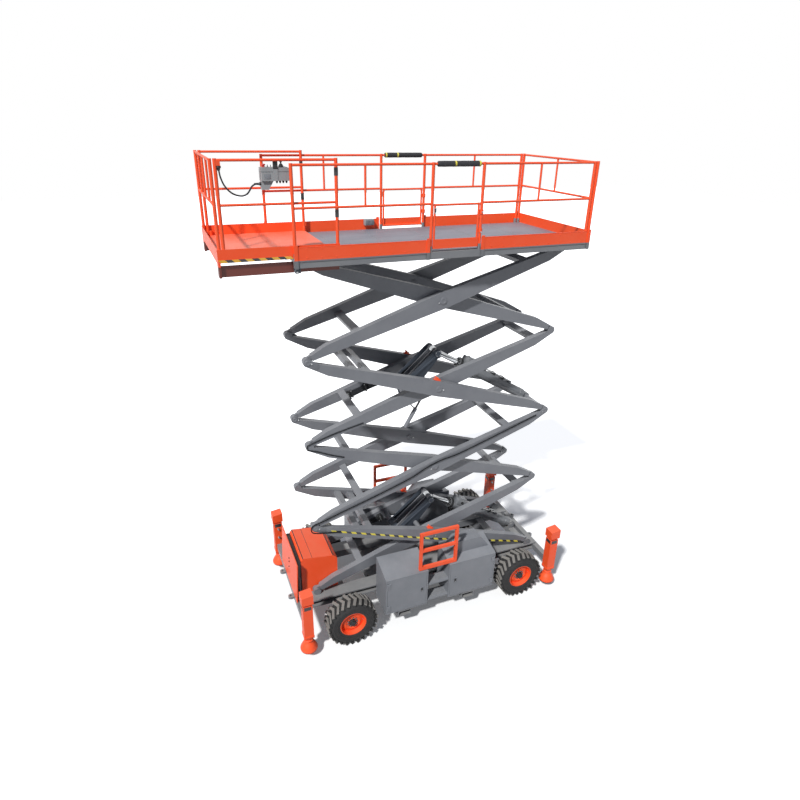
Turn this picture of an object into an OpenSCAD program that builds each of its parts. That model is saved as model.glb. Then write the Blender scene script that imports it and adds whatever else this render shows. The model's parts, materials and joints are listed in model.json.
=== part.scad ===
// Rough-terrain scissor lift with four outriggers and a sliding deck extension, raised to its working pose.
// Millimetres. +X is the front of the machine, +Y its left side, +Z up, and the wheels stand on Z = 0.

/* [Scissor] */
// Pin-to-pin length of each arm
arm_len = 4146; // [4000:1:4300]
// Slope of the arms in this pose, in degrees
arm_slope = 18.92; // [14:0.01:30]
// Thickness of each arm across the machine
arm_w = 100; // [80:1:110]
// Depth of each arm at its middle
arm_depth = 240; // [180:1:260]
// Radius of the rounded arm tips
tip_r = 60; // [48:1:66]
// Inner face of the inner arms from the centre plane
inner_arm_y = 420; // [400:1:440]
// Gap between inner and outer arms
arm_gap = 10; // [6:1:16]
// Radius of the pins at the arm tips
pin_r = 30; // [20:1:36]
// Radius of the pins at the arm crossings
cross_pin_r = 36; // [24:1:50]
// Outer radius of the cross tubes
cross_tube_r = 40; // [30:1:44]
// Width of the rectangular cross members along the arms
member_w = 110; // [80:1:120]
// Height of the lowest pins above the ground
base_pin_z = 680; // [660:1:720]
// Middle of the scissor behind the middle of the wheelbase
pin_shift = 14; // [0:1:40]

/* [Lift cylinders] */
// Outer radius of the barrel
barrel_r = 85; // [60:1:95]
// Radius of the rod
rod_r = 42; // [35:1:46]
// Length of the barrel from its pin
barrel_len = 1560; // [1400:1:1600]
// Share of the inner arm under the lever that the rod pushes
lever_share = 0.57; // [0.55:0.01:0.6]
// Height of the rod's pin above the inner arm's pin line
lever_h = 300; // [260:1:320]

/* [Wheels] */
// Axles inside the scissor's end pins
axle_inset = 421; // [380:1:460]
// Tyre radius out to the lug tips
tyre_r = 415; // [390:1:430]
// Tyre width
tyre_w = 300; // [260:1:320]
// Outer face of the tyres from the centre plane
tyre_face_y = 1165; // [1150:1:1190]
// Radius of the rim under the tyre bead
rim_r = 215; // [190:1:235]
// Steering pin from the centre plane
kingpin_y = 860; // [850:1:870]

/* [Chassis] */
// Outer face of the side rails from the centre plane
rail_face_y = 640; // [632:1:645]
// Underside of the side rails above the ground
rail_under_z = 486; // [480:1:500]
// Front outriggers past half the scissor's reach
outrigger_ahead = 294; // [280:1:330]
// Rear outriggers past half the scissor's reach
outrigger_behind = 189; // [160:1:240]
// Outrigger columns from the centre plane
outrigger_y = 1085; // [1060:1:1100]
// Outer width of the outrigger columns
column_w = 150; // [140:1:170]
// Underside of the raised outrigger feet
foot_z = 130; // [100:1:160]
// Radius of the outrigger feet
foot_r = 135; // [110:1:150]

/* [Cabinets] */
// Outer face of the cabinets from the centre plane
cabinet_face_y = 1120; // [1090:1:1140]
// Inner face of the cabinets from the centre plane
cabinet_back_y = 660; // [650:1:680]
// Underside of the cabinets
cabinet_z = 395; // [380:1:420]
// Height of the cabinets' outer wall
cabinet_h = 690; // [620:1:740]
// Rise of the sloping cabinet tops from the outer wall inwards
cabinet_top_rise = 130; // [60:1:160]
// Gap between the cabinets and the tyres
cabinet_tyre_gap = 140; // [110:1:180]
// Front cabinet's rear end
front_cabinet_start = 255; // [220:1:300]
// Rear cabinet's front end behind the middle of the wheelbase
rear_cabinet_start = 130; // [110:1:170]
// Sheet thickness of the cabinets
cabinet_sheet = 8; // [5:1:12]

/* [Platform] */
// Main deck's ends past half the scissor's reach
deck_overhang = 149; // [130:1:180]
// Guard rail line from the centre plane
rail_y = 925; // [900:1:950]
// Deck surface above the top scissor pins
deck_over_pin = 83; // [80:1:95]
// Top guard rail above the deck surface
top_rail_h = 1040; // [1000:1:1100]
// Middle guard rail above the deck surface
mid_rail_h = 578; // [500:1:620]
// Toe boards above the deck surface
toe_h = 148; // [120:1:170]
// Outer radius of the guard rail posts
post_r = 20; // [16:1:24]
// Outer radius of the guard rails and balusters
rail_r = 15; // [12:1:18]
// Half width of the side gates
gate_half = 330; // [300:1:360]
// Extension's reach past the main deck in this pose
extension_out = 859; // [400:1:900]
// Length of the extension
extension_len = 1433; // [1380:1:1480]

/* [Hidden] */
$fn = 48;

orange = "orangered";
steel_grey = "dimgray";
arm_grey = "gray";
black = "#202022";
zinc = "silver";

// Clearances: turning fit of a pin in its bore, sliding fit, and the running gap round moving pieces
pin_fit = 0.4;
slide_fit = 0.3;
run_gap = 5;

// Scissor pins: every stage rises by the same height, and front and rear pins stand one reach apart
reach = arm_len * cos(arm_slope);
stage_rise = arm_len * sin(arm_slope);
half_reach = reach / 2;
rear_pin_x = -half_reach - pin_shift;
front_pin_x = half_reach - pin_shift;
stages = 4;
top_pin_z = base_pin_z + stages * stage_rise;
outer_arm_y = inner_arm_y + arm_w + arm_gap;
arm_face_y = outer_arm_y + arm_w;

// Arm ends: a fork at the upper pin takes the tongue at the next arm's lower pin
shoulder = tip_r + 15;
cheek = 25;
tongue_gap = 1;
flare_len = 330;
roller_r = tip_r + 1;
lower_member_share = 0.2;
upper_member_share = 0.835;
member_half_h = 32;
member_shift = arm_depth / 2 - member_half_h - 2;

// Cross members and tubes of the frames that the lift cylinders work in, clear of the cylinders' sweep
lift_outer_shares = [0.775, 0.83];
lift_end_share = 0.93;
lever_tube_shares = [0.395, 0.476];

// Lift cylinders: from a tube on the rear pin line up to the lever on the next inner arm
barrel_eye_r = cross_tube_r + 30;
barrel_eye_half = 55;
base_gap = 10;
rod_eye_r = rod_r + 12;
rod_eye_half = 40;
rod_lug_gap = 6;
rod_lug_t = 22;
lever_boss_r = 45;
lever_boss_y = 190;
barrel_wall_end = 60;
rod_engaged = 700;

// Chassis heights and the widths of its members
track_z = base_pin_z - roller_r - slide_fit;
rail_inner_y = inner_arm_y - 15;
flange_t = 24;
web_y = rail_inner_y + 110;
belly_z = 380;
axle_x = half_reach - axle_inset;
belly_x = axle_x - 540;
outrigger_front = half_reach + outrigger_ahead;
outrigger_back = half_reach + outrigger_behind;
chassis_front = outrigger_front - 70;
chassis_back = outrigger_back + 10;
front_cabinet_end = axle_x - tyre_r - cabinet_tyre_gap;
rear_cabinet_end = front_cabinet_end;
axle_z = tyre_r;
axle_half_h = 62;
axle_half_w = 70;
beam_w = 90;
beam_z = rail_under_z;
beam_h = 110;

// Outrigger columns and legs
column_wall = 20;
column_z = 400;
column_h = 640;
cap_h = 170;
cap_gap = 40;
cap_lip = 14;
cap_fall = 25;
leg_w = column_w - 2 * column_wall - 2 * slide_fit;
foot_h = 250;

// Platform ends and heights
deck_front = half_reach + deck_overhang;
deck_back = deck_front;
deck_z = top_pin_z + deck_over_pin;
deck_t = 10;
frame_top_z = deck_z - deck_t;
frame_under_z = top_pin_z - 18;
track_plate_z = top_pin_z + roller_r + slide_fit;
side_beam_w = 60;
toe_t = 8;
top_rail_z = deck_z + top_rail_h;
mid_rail_z = deck_z + mid_rail_h;
post_x = gate_half + post_r;
post_y = rail_y - post_r;
post_over = rail_r + 3;
baluster_r = rail_r - 1;

// Extension: it slides just above the main deck and inside the main guard rails
extension_front = deck_front + extension_out;
extension_back = extension_front - extension_len;
extension_lift = 50;
extension_gap = 6;
extension_half = rail_y - 2 * post_r - run_gap;
extension_y = extension_half - toe_t - post_r;
extension_z = deck_z + extension_gap;
extension_t = 20;
extension_end_t = 28;
slide_bar_y = 790;
slide_bar_w = 40;
slide_bar_h = 125;

// Overall length and its middle, which is the part's origin
overall_front = extension_front + post_r;
overall_back = -(outrigger_back + foot_r);
origin_x = (overall_front + overall_back) / 2;

// Pin places in the side view
function rear_pin(k) = [rear_pin_x, base_pin_z + k * stage_rise];
function front_pin(k) = [front_pin_x, base_pin_z + k * stage_rise];

// Moves the machine so that the middle of its overall length is at the origin
module placed() translate([-origin_x, 0, 0]) children();

// A piece and its mirror image on the other side of the machine
module both_sides() {
  children();
  mirror([0, 1, 0]) children();
}

// A side-view outline given a thickness across the machine
module slab(y0, y1) translate([0, y1, 0]) rotate([90, 0, 0]) linear_extrude(y1 - y0) children();

// A round bar across the machine
module bar_y(x, z, r, y0, y1) translate([x, y1, z]) rotate([90, 0, 0]) cylinder(h = y1 - y0, r = r);

// A box between two corners
module box(a, b) translate(a) cube(b - a);

// A tube along X, Y or Z
module tube_x(x0, x1, y, z, r) translate([x0, y, z]) rotate([0, 90, 0]) cylinder(h = x1 - x0, r = r);
module tube_z(x, y, z0, z1, r) translate([x, y, z0]) cylinder(h = z1 - z0, r = r);

// Puts a piece drawn along an arm, from its lower pin, in its place in the side view
module on_arm(pin, forward) {
  translate([pin[0], 0, pin[1]])
    mirror([forward ? 0 : 1, 0, 0])
      rotate([0, -arm_slope, 0]) children();
}

// Side view of an arm: each edge that faces a partner arm runs out to the pin line, so the stack folds flat
module arm_outline() {
  half = arm_depth / 2;
  polygon([
    [0, 0], [arm_len / 2, -half], [arm_len - flare_len, -half], [arm_len, -tip_r],
    [arm_len, 0], [arm_len / 2, half], [flare_len, half], [0, tip_r]
  ]);
  circle(tip_r);
  translate([arm_len, 0]) circle(tip_r);
}

// One arm from its lower pin: tongue below, fork above
module arm(y0) {
  y1 = y0 + arm_w;
  cut = 2 * tip_r;
  difference() {
    slab(y0, y1) arm_outline();
    box([-cut, y0 - 1, -cut], [shoulder, y0 + cheek + tongue_gap, cut]);
    box([-cut, y1 - cheek - tongue_gap, -cut], [shoulder, y1 + 1, cut]);
    box([arm_len - shoulder, y0 + cheek, -cut], [arm_len + cut, y1 - cheek, cut]);
    bar_y(0, 0, pin_r + pin_fit, y0, y1);
  }
  bar_y(arm_len, 0, pin_r, y0, y1);
}

// A rectangular cross member at a share of the frame's length and a shift across it
module member(share, shift, half_y) {
  x = share * arm_len;
  box([x - member_w / 2, -half_y, shift - member_half_h], [x + member_w / 2, half_y, shift + member_half_h]);
}

// Frame of two outer arms, with the crossing pins and two cross members
module outer_frame(pin, forward, shares) {
  color(arm_grey) placed() on_arm(pin, forward) {
    both_sides() {
      arm(outer_arm_y);
      bar_y(arm_len / 2, 0, cross_pin_r, inner_arm_y, outer_arm_y);
    }
    for (share = shares) member(share, 0, outer_arm_y);
  }
}

// One inner arm with its crossing bore
module inner_arm() {
  difference() {
    arm(inner_arm_y);
    bar_y(arm_len / 2, 0, cross_pin_r + pin_fit, inner_arm_y - 1, inner_arm_y + arm_w + 1);
  }
}

// Frame with the lever that the lift cylinder's rod pushes: two plates on two cross tubes
module lever_frame(pin) {
  lug_y = rod_r + rod_lug_gap;
  eye_x = lever_share * arm_len;
  back_x = lever_tube_shares[0] * arm_len;
  front_x = lever_tube_shares[1] * arm_len;
  edge = rod_eye_r * sin(45);
  color(arm_grey) placed() on_arm(pin, false) {
    both_sides() {
      inner_arm();
      slab(lug_y, lug_y + rod_lug_t) {
        polygon([
          [back_x, -cross_tube_r], [front_x, -cross_tube_r], [eye_x + edge, lever_h - edge],
          [eye_x - edge, lever_h + edge], [back_x, cross_tube_r]
        ]);
        translate([eye_x, lever_h]) circle(rod_eye_r);
      }
      bar_y(eye_x, lever_h, lever_boss_r, lug_y + rod_lug_t - 1, lever_boss_y);
    }
    for (share = lever_tube_shares) bar_y(share * arm_len, 0, cross_tube_r, -inner_arm_y, inner_arm_y);
    member(lower_member_share, member_shift, inner_arm_y);
    member(lift_end_share, -member_half_h, inner_arm_y);
  }
}

// Frame with two plain cross members, set away from the lift cylinder below
module plain_frame(pin) {
  color(arm_grey) placed() on_arm(pin, true) {
    both_sides() inner_arm();
    member(lower_member_share, member_shift, inner_arm_y);
    member(upper_member_share, -member_shift, inner_arm_y);
  }
}

// Rollers at the ends that run along the chassis and under the platform
module end_roller(x) both_sides() {
  for (y0 = [inner_arm_y, inner_arm_y + arm_w - cheek + 1])
    bar_y(x, 0, roller_r, y0, y0 + cheek - 1);
}

module outer_frame_1() outer_frame(rear_pin(0), true, lift_outer_shares);
module outer_frame_2() {
  outer_frame(front_pin(1), false, [lower_member_share, upper_member_share]);
  color(arm_grey) placed()
    bar_y(rear_pin_x, rear_pin(2)[1], cross_tube_r, -outer_arm_y - 1, outer_arm_y + 1);
}
module outer_frame_3() outer_frame(rear_pin(2), true, lift_outer_shares);
module outer_frame_4() outer_frame(front_pin(3), false, [lower_member_share, upper_member_share]);

module inner_frame_1() {
  lever_frame(front_pin(0));
  color(zinc) placed() on_arm(front_pin(0), false) {
    end_roller(0);
    both_sides() bar_y(0, 0, pin_r, inner_arm_y, inner_arm_y + arm_w);
  }
}
module inner_frame_2() plain_frame(rear_pin(1));
module inner_frame_3() lever_frame(front_pin(2));
module inner_frame_4() {
  plain_frame(rear_pin(3));
  color(zinc) placed() on_arm(rear_pin(3), true) both_sides()
    bar_y(arm_len, 0, roller_r, inner_arm_y + cheek, inner_arm_y + arm_w - cheek);
}

// Lift cylinder of the pair of stages that starts at the given level, from its rear pin to its lever
lift_vector = [
  (1 - lever_share) * reach + lever_h * sin(arm_slope), lever_share * stage_rise + lever_h * cos(arm_slope)];
lift_angle = atan2(lift_vector[1], lift_vector[0]);

module on_lift(level) {
  pin = rear_pin(level);
  translate([pin[0], 0, pin[1]]) rotate([0, -lift_angle, 0]) children();
}

module barrel(level) color(steel_grey) placed() on_lift(level) {
  difference() {
    union() {
      tube_x(barrel_eye_r + base_gap, barrel_len, 0, 0, barrel_r);
      tube_x(0, barrel_eye_r + 2 * base_gap, 0, 0, barrel_eye_half);
      bar_y(0, 0, barrel_eye_r, -barrel_eye_half, barrel_eye_half);
    }
    tube_x(barrel_eye_r + barrel_wall_end, barrel_len + 1, 0, 0, rod_r + pin_fit);
    bar_y(0, 0, cross_tube_r + pin_fit, -barrel_r - 1, barrel_r + 1);
  }
}

module rod(level) color(zinc) placed() on_lift(level) {
  length = norm(lift_vector);
  tube_x(barrel_len - rod_engaged, length, 0, 0, rod_r - 10);
  tube_x(barrel_len - rod_engaged, length - rod_eye_r - 60, 0, 0, rod_r);
  bar_y(length, 0, rod_eye_r, -rod_eye_half, rod_eye_half);
}

module lower_barrel() barrel(0);
module lower_rod() rod(0);
module upper_barrel() barrel(2);
module upper_rod() rod(2);

// One side rail: a channel open outwards, whose top flange is the rollers' track
module side_rail() {
  box([-chassis_back, rail_inner_y, rail_under_z], [chassis_front, web_y, track_z]);
  box([-chassis_back, rail_inner_y, track_z - flange_t], [chassis_front, rail_face_y, track_z]);
  box([-chassis_back, rail_inner_y, rail_under_z], [chassis_front, rail_face_y, rail_under_z + flange_t]);
}

// Rear pivot: two cheeks on the rail with the first outer arm's tongue between them
module rear_pivot() {
  for (y0 = [outer_arm_y, arm_face_y - cheek]) {
    slab(y0, y0 + cheek) translate([rear_pin_x, base_pin_z]) circle(tip_r);
    box([rear_pin_x - tip_r, y0, track_z - 1], [rear_pin_x + tip_r, y0 + cheek, base_pin_z]);
  }
  bar_y(rear_pin_x, base_pin_z, pin_r, outer_arm_y, arm_face_y);
}

// Base of the lower lift cylinder: a beam between the rails, with two lugs and a pin tube
base_half_w = 60;
base_lug_y = barrel_eye_half + run_gap;
base_lug_t = 25;
module cylinder_base() {
  top = base_pin_z - barrel_eye_r - base_gap;
  box([rear_pin_x - base_half_w, -rail_inner_y, rail_under_z], [rear_pin_x + base_half_w, rail_inner_y, top]);
  both_sides() {
    slab(base_lug_y, base_lug_y + base_lug_t) translate([rear_pin_x, base_pin_z]) circle(barrel_eye_r);
    box(
      [rear_pin_x - base_half_w, base_lug_y, top - 1],
      [rear_pin_x + base_half_w, base_lug_y + base_lug_t, base_pin_z]);
  }
  bar_y(rear_pin_x, base_pin_z, cross_tube_r, -base_lug_y - base_lug_t - 20, base_lug_y + base_lug_t + 20);
}

// Tie-down lug: a flat plate with an upright bore
lug_r = 45;
lug_bore_r = 22;
lug_t = 40;
lug_y = 320;
module tie_down(x, dir) {
  z0 = beam_z + (beam_h - lug_t) / 2;
  centre = x + dir * lug_r;
  difference() {
    union() {
      tube_z(centre, lug_y, z0, z0 + lug_t, lug_r);
      box([min(x, centre), lug_y - lug_r, z0], [max(x, centre), lug_y + lug_r, z0 + lug_t]);
    }
    tube_z(centre, lug_y, z0 - 1, z0 + lug_t + 1, lug_bore_r);
  }
}

module chassis_frame() color(steel_grey) placed() {
  both_sides() {
    side_rail();
    rear_pivot();
    tie_down(outrigger_front + beam_w / 2, 1);
    tie_down(-outrigger_back - beam_w / 2, -1);
  }
  cylinder_base();
  box([-belly_x, -rail_inner_y, belly_z], [belly_x, rail_inner_y, rail_under_z + flange_t]);
  column_in = outrigger_y - column_w / 2;
  for (x = [outrigger_front, -outrigger_back])
    box([x - beam_w / 2, -column_in, beam_z], [x + beam_w / 2, column_in, beam_z + beam_h]);
  box([chassis_front, -rail_face_y, beam_z], [outrigger_front, rail_face_y, beam_z + beam_h]);
  for (x = [axle_x, -axle_x])
    box(
      [x - axle_half_w, -rail_inner_y, axle_z + axle_half_h],
      [x + axle_half_w, rail_inner_y, track_z - flange_t]);
}

// Hood between the arms at the front, with a lid seam round its top
hood_front = outrigger_front - 90;
hood_back = hood_front - 595;
hood_z = beam_z + beam_h;
hood_top = 1315;
module hood() color(orange) placed() {
  half = rail_inner_y;
  slope = 70;
  front_edge = 40;
  back_edge = 60;
  slab(-half, half) polygon([
    [hood_back, hood_z], [hood_front, hood_z], [hood_front, hood_top - front_edge],
    [hood_front - front_edge, hood_top], [hood_back + back_edge, hood_top - slope],
    [hood_back, hood_top - slope - back_edge]
  ]);
}

// Sloping panel ahead of the hood, standing on the front cross beam
module front_panel() color(orange) placed() {
  panel_t = 14;
  panel_half = 560;
  lean = 40;
  foot_x = outrigger_front + beam_w / 2 - panel_t;
  panel_z0 = beam_z + beam_h;
  panel_z1 = 1330;
  slab(-panel_half, panel_half) polygon([
    [foot_x, panel_z0], [foot_x + panel_t, panel_z0],
    [foot_x + panel_t - lean, panel_z1], [foot_x - lean, panel_z1]
  ]);
}

// Cabinet wall outline seen from the front: the top slopes down to the outer wall
module cabinet_section(inset) {
  y0 = cabinet_back_y + inset;
  y1 = cabinet_face_y - inset;
  z0 = cabinet_z + inset;
  z1 = cabinet_z + cabinet_h - inset;
  polygon([[y0, z0], [y1, z0], [y1, z1], [y0, z1 + cabinet_top_rise]]);
}

// A section across the machine drawn out along X
module along_x(x0, x1) translate([x0, 0, 0]) rotate([90, 0, 90]) linear_extrude(x1 - x0) children();

// Raised cover with sloping ends on top of a rear cabinet, open to the cabinet below
cover_y0 = cabinet_back_y + 50;
cover_y1 = cabinet_face_y - 170;
cover_top = cabinet_z + cabinet_h + 275;
cover_end = 15;
cover_slope = 215;
module cover(x0, x1, inset) {
  z0 = cabinet_z + cabinet_h - 2 * inset;
  z1 = cover_top - inset;
  lean = cover_slope + inset / 2;
  slab(cover_y0 + inset, cover_y1 - inset) polygon([
    [x0 + cover_end + inset, z0], [x1 - cover_end - inset, z0], [x1 - lean, z1], [x0 + lean, z1]
  ]);
}

door_margin = 22;
door_t = 18;
door_fit = 4;
module cabinet(x0, x1, covered) difference() {
  union() {
    along_x(x0, x1) cabinet_section(0);
    if (covered) cover(x0, x1, 0);
  }
  along_x(x0 + cabinet_sheet, x1 - cabinet_sheet) cabinet_section(cabinet_sheet);
  if (covered) cover(x0, x1, cabinet_sheet);
  box(
    [x0 + door_margin, cabinet_face_y - door_t - 2, cabinet_z + door_margin],
    [x1 - door_margin, cabinet_face_y + 1, cabinet_z + cabinet_h - door_margin]);
}

// Steps between the two cabinets of a side
step_t = 30;
step_d = 210;
step_back = 20;
step_rise = [40, 360];
module steps() for (rise = step_rise)
  box(
    [-rear_cabinet_start, cabinet_face_y - step_back - step_d, cabinet_z + rise],
    [front_cabinet_start, cabinet_face_y - step_back, cabinet_z + rise + step_t]);

// Cabinet brackets out from the side rail
bracket_w = 60;
bracket_h = 100;
module cabinet_brackets() for (x = [front_cabinet_start + bracket_w, front_cabinet_end - 2 * bracket_w,
                                    -rear_cabinet_start - 2 * bracket_w, -rear_cabinet_end + bracket_w])
  box([x, rail_face_y, rail_under_z], [x + bracket_w, cabinet_back_y, rail_under_z + bracket_h]);

module cabinet_side() color(arm_grey) placed() {
  cabinet(front_cabinet_start, front_cabinet_end, false);
  cabinet(-rear_cabinet_end, -rear_cabinet_start, true);
  steps();
  cabinet_brackets();
}
module cabinets_left() cabinet_side();
module cabinets_right() mirror([0, 1, 0]) cabinet_side();

// Doors, each hinged on the edge next to its wheel
hinge_r = 10;
hinge_len = 90;
hinge_y = cabinet_face_y + hinge_r + slide_fit;
hinge_leaf_t = 8;
hinge_leaf_w = 50;
latch_in = 110;
latch_w = 60;
latch_h = 90;
latch_t = 12;
module door(x0, x1, hinge_x, latch_x) color(arm_grey) placed() {
  z0 = cabinet_z + door_margin + door_fit;
  z1 = cabinet_z + cabinet_h - door_margin - door_fit;
  leaf_x = hinge_x + hinge_leaf_w * sign(latch_x - hinge_x);
  latch_z = (z0 + z1) / 2;
  box(
    [x0 + door_margin + door_fit, cabinet_face_y - door_t, z0],
    [x1 - door_margin - door_fit, cabinet_face_y, z1]);
  box(
    [latch_x - latch_w / 2, cabinet_face_y, latch_z - latch_h / 2],
    [latch_x + latch_w / 2, cabinet_face_y + latch_t, latch_z + latch_h / 2]);
  for (z = [z0 + hinge_len, z1 - hinge_len]) {
    tube_z(hinge_x, hinge_y, z - hinge_len / 2, z + hinge_len / 2, hinge_r);
    box(
      [min(hinge_x, leaf_x), hinge_y - hinge_leaf_t / 2, z - hinge_len / 2],
      [max(hinge_x, leaf_x), hinge_y + hinge_leaf_t / 2, z + hinge_len / 2]);
    box(
      [min(leaf_x, (hinge_x + leaf_x) / 2), cabinet_face_y, z - hinge_len / 2],
      [max(leaf_x, (hinge_x + leaf_x) / 2), hinge_y + hinge_leaf_t / 2, z + hinge_len / 2]);
  }
}
module door_front_left() door(
  front_cabinet_start, front_cabinet_end, front_cabinet_end - door_margin, front_cabinet_start + latch_in);
module door_front_right() mirror([0, 1, 0]) door_front_left();
module door_rear_left() door(
  -rear_cabinet_end, -rear_cabinet_start, -rear_cabinet_end + door_margin, -rear_cabinet_start - latch_in);
module door_rear_right() mirror([0, 1, 0]) door_rear_left();

// Grab frames over the steps, which stand on the cabinet tops
ladder_t = 45;
ladder_y = cabinet_face_y - step_back - ladder_t;
ladder_foot_h = 60;
ladder_top = 1820;
ladder_mid = 1455;
ladder_x0 = -rear_cabinet_start - 130;
ladder_x1 = front_cabinet_start + 150;
module access_ladders() color(orange) placed() both_sides() {
  foot_rise = cabinet_top_rise * (cabinet_face_y - ladder_y) / (cabinet_face_y - cabinet_back_y);
  z0 = cabinet_z + cabinet_h + foot_rise + slide_fit;
  for (x = [ladder_x0, ladder_x1 - ladder_t])
    box([x, ladder_y, z0], [x + ladder_t, ladder_y + ladder_t, ladder_top]);
  for (z = [ladder_top - ladder_t, ladder_mid])
    box([ladder_x0, ladder_y, z], [ladder_x1, ladder_y + ladder_t, z + ladder_t]);
  box([ladder_x0, ladder_y, z0], [ladder_x1, ladder_y + ladder_t, z0 + ladder_foot_h]);
}

// Two fork pockets under the belly
pocket_w = 230;
pocket_h = 105;
pocket_wall = 10;
pocket_x = [front_cabinet_end - 335, 475 - rear_cabinet_end];
module fork_pockets() color(steel_grey) placed()
  for (x = pocket_x) difference() {
    box([x - pocket_w / 2, -cabinet_face_y, belly_z - pocket_h], [x + pocket_w / 2, cabinet_face_y, belly_z]);
    box(
      [x - pocket_w / 2 + pocket_wall, -cabinet_face_y - 1, belly_z - pocket_h + pocket_wall],
      [x + pocket_w / 2 - pocket_wall, cabinet_face_y + 1, belly_z - pocket_wall]);
  }

// Engine and pump as one plain block in the right rear cabinet
engine_gap = 60;
engine_h = 520;
module engine() color(black) placed()
  box(
    [-rear_cabinet_end + engine_gap, -cabinet_face_y + 2 * engine_gap, cabinet_z + cabinet_sheet],
    [-rear_cabinet_start - engine_gap, -cabinet_back_y - engine_gap, cabinet_z + engine_h]);

// Axles: the front beam ends in forks that hold the steering pins
fork_t = 30;
fork_half_w = 50;
fork_reach = 45;
fork_back = 60;
kingpin_r = 25;
module front_axle() color(steel_grey) placed() {
  yoke = kingpin_y - fork_back;
  box(
    [axle_x - axle_half_w, -yoke, axle_z - axle_half_h],
    [axle_x + axle_half_w, yoke, axle_z + axle_half_h]);
  both_sides() {
    for (z = [axle_z - axle_half_h, axle_z + axle_half_h - fork_t])
      box([axle_x - fork_half_w, yoke, z], [axle_x + fork_half_w, kingpin_y + fork_reach, z + fork_t]);
    tube_z(axle_x, kingpin_y, axle_z - axle_half_h, axle_z + axle_half_h, kingpin_r);
  }
}
hub_r = 95;
spindle_r = 40;
wheel_y = tyre_face_y - tyre_w / 2;
disc_in = 20;
spindle_end_y = wheel_y + disc_in + 14;
rear_beam_in = 60;
module rear_axle() color(steel_grey) placed() {
  beam_end = wheel_y - rear_beam_in;
  box(
    [-axle_x - axle_half_w, -beam_end, axle_z - axle_half_h],
    [-axle_x + axle_half_w, beam_end, axle_z + axle_half_h]);
  both_sides() bar_y(-axle_x, axle_z, spindle_r, beam_end, spindle_end_y);
}

// Steering knuckle: a block on the steering pin with the wheel's spindle
module knuckle_left() color(steel_grey) placed() {
  lug = axle_half_h - fork_t - 1;
  block_half = 45;
  block_out = 60;
  neck_len = 60;
  difference() {
    box(
      [axle_x - block_half, kingpin_y - kingpin_r - run_gap, axle_z - lug],
      [axle_x + block_half, kingpin_y + block_out, axle_z + lug]);
    tube_z(axle_x, kingpin_y, axle_z - 2 * lug, axle_z + 2 * lug, kingpin_r + pin_fit);
  }
  bar_y(axle_x, axle_z, lug - 1, kingpin_y + block_out - 1, kingpin_y + block_out + neck_len);
  bar_y(axle_x, axle_z, spindle_r, kingpin_y + block_out + neck_len - 1, spindle_end_y);
}
module knuckle_right() mirror([0, 1, 0]) knuckle_left();

// Wheels: a dished rim with a hub, and a tyre round it
bead_in = 25;
flange = 14;
wheel_sides = 40;
module rim_at(x) color(orange) placed() translate([x, wheel_y, axle_z]) rotate([-90, 0, 0]) {
  half = tyre_w / 2 - bead_in;
  bore = spindle_r + pin_fit;
  rotate_extrude($fn = wheel_sides) polygon([
    [bore, disc_in], [hub_r, disc_in], [hub_r + 20, 60], [rim_r - 30, 30], [rim_r - flange, -half],
    [rim_r, -half], [rim_r, half], [rim_r - flange, half], [rim_r - 24, 50], [hub_r + 25, 84],
    [hub_r, 70], [bore, 70]
  ]);
}
lug_rise = 26;
lugs = 13;
lug_len = 165;
tread_lug_w = 46;
lug_skew = 24;
lug_overlap = 15;
sidewall_in = 6;
sidewall_rise = 60;
shoulder_in = 50;
tread_base_r = tyre_r - lug_rise;
lug_half = tread_lug_w / 2 * cos(lug_skew) + lug_len / 2 * sin(lug_skew);
lug_top_r = sqrt(tyre_r * tyre_r - lug_half * lug_half);
module tyre_lug()
  translate([-lug_len / 2 * sin(lug_skew), -lug_overlap, tread_base_r - lug_rise])
    rotate([0, 0, -lug_skew])
      translate([-tread_lug_w / 2, 0, 0]) cube([tread_lug_w, lug_len, lug_top_r - tread_base_r + lug_rise]);

module tyre_at(x) color(black) placed() translate([x, wheel_y, axle_z]) {
  half = tyre_w / 2;
  pitch = 360 / lugs;
  rotate([-90, 0, 0]) rotate_extrude($fn = wheel_sides) polygon([
    [rim_r + slide_fit, -half + bead_in], [rim_r + sidewall_rise, -half + sidewall_in],
    [tread_base_r - sidewall_rise, -half + sidewall_in], [tread_base_r, -half + shoulder_in],
    [tread_base_r, half - shoulder_in], [tread_base_r - sidewall_rise, half - sidewall_in],
    [rim_r + sidewall_rise, half - sidewall_in], [rim_r + slide_fit, half - bead_in]
  ]);
  for (n = [0:lugs - 1]) {
    rotate([0, (n - 0.25) * pitch, 0]) tyre_lug();
    rotate([0, (n + 0.25) * pitch, 0]) mirror([0, 1, 0]) tyre_lug();
  }
}
module rim_front_left() rim_at(axle_x);
module rim_front_right() mirror([0, 1, 0]) rim_at(axle_x);
module rim_rear_left() rim_at(-axle_x);
module rim_rear_right() mirror([0, 1, 0]) rim_at(-axle_x);
module tyre_front_left() tyre_at(axle_x);
module tyre_front_right() mirror([0, 1, 0]) tyre_at(axle_x);
module tyre_rear_left() tyre_at(-axle_x);
module tyre_rear_right() mirror([0, 1, 0]) tyre_at(-axle_x);

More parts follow.
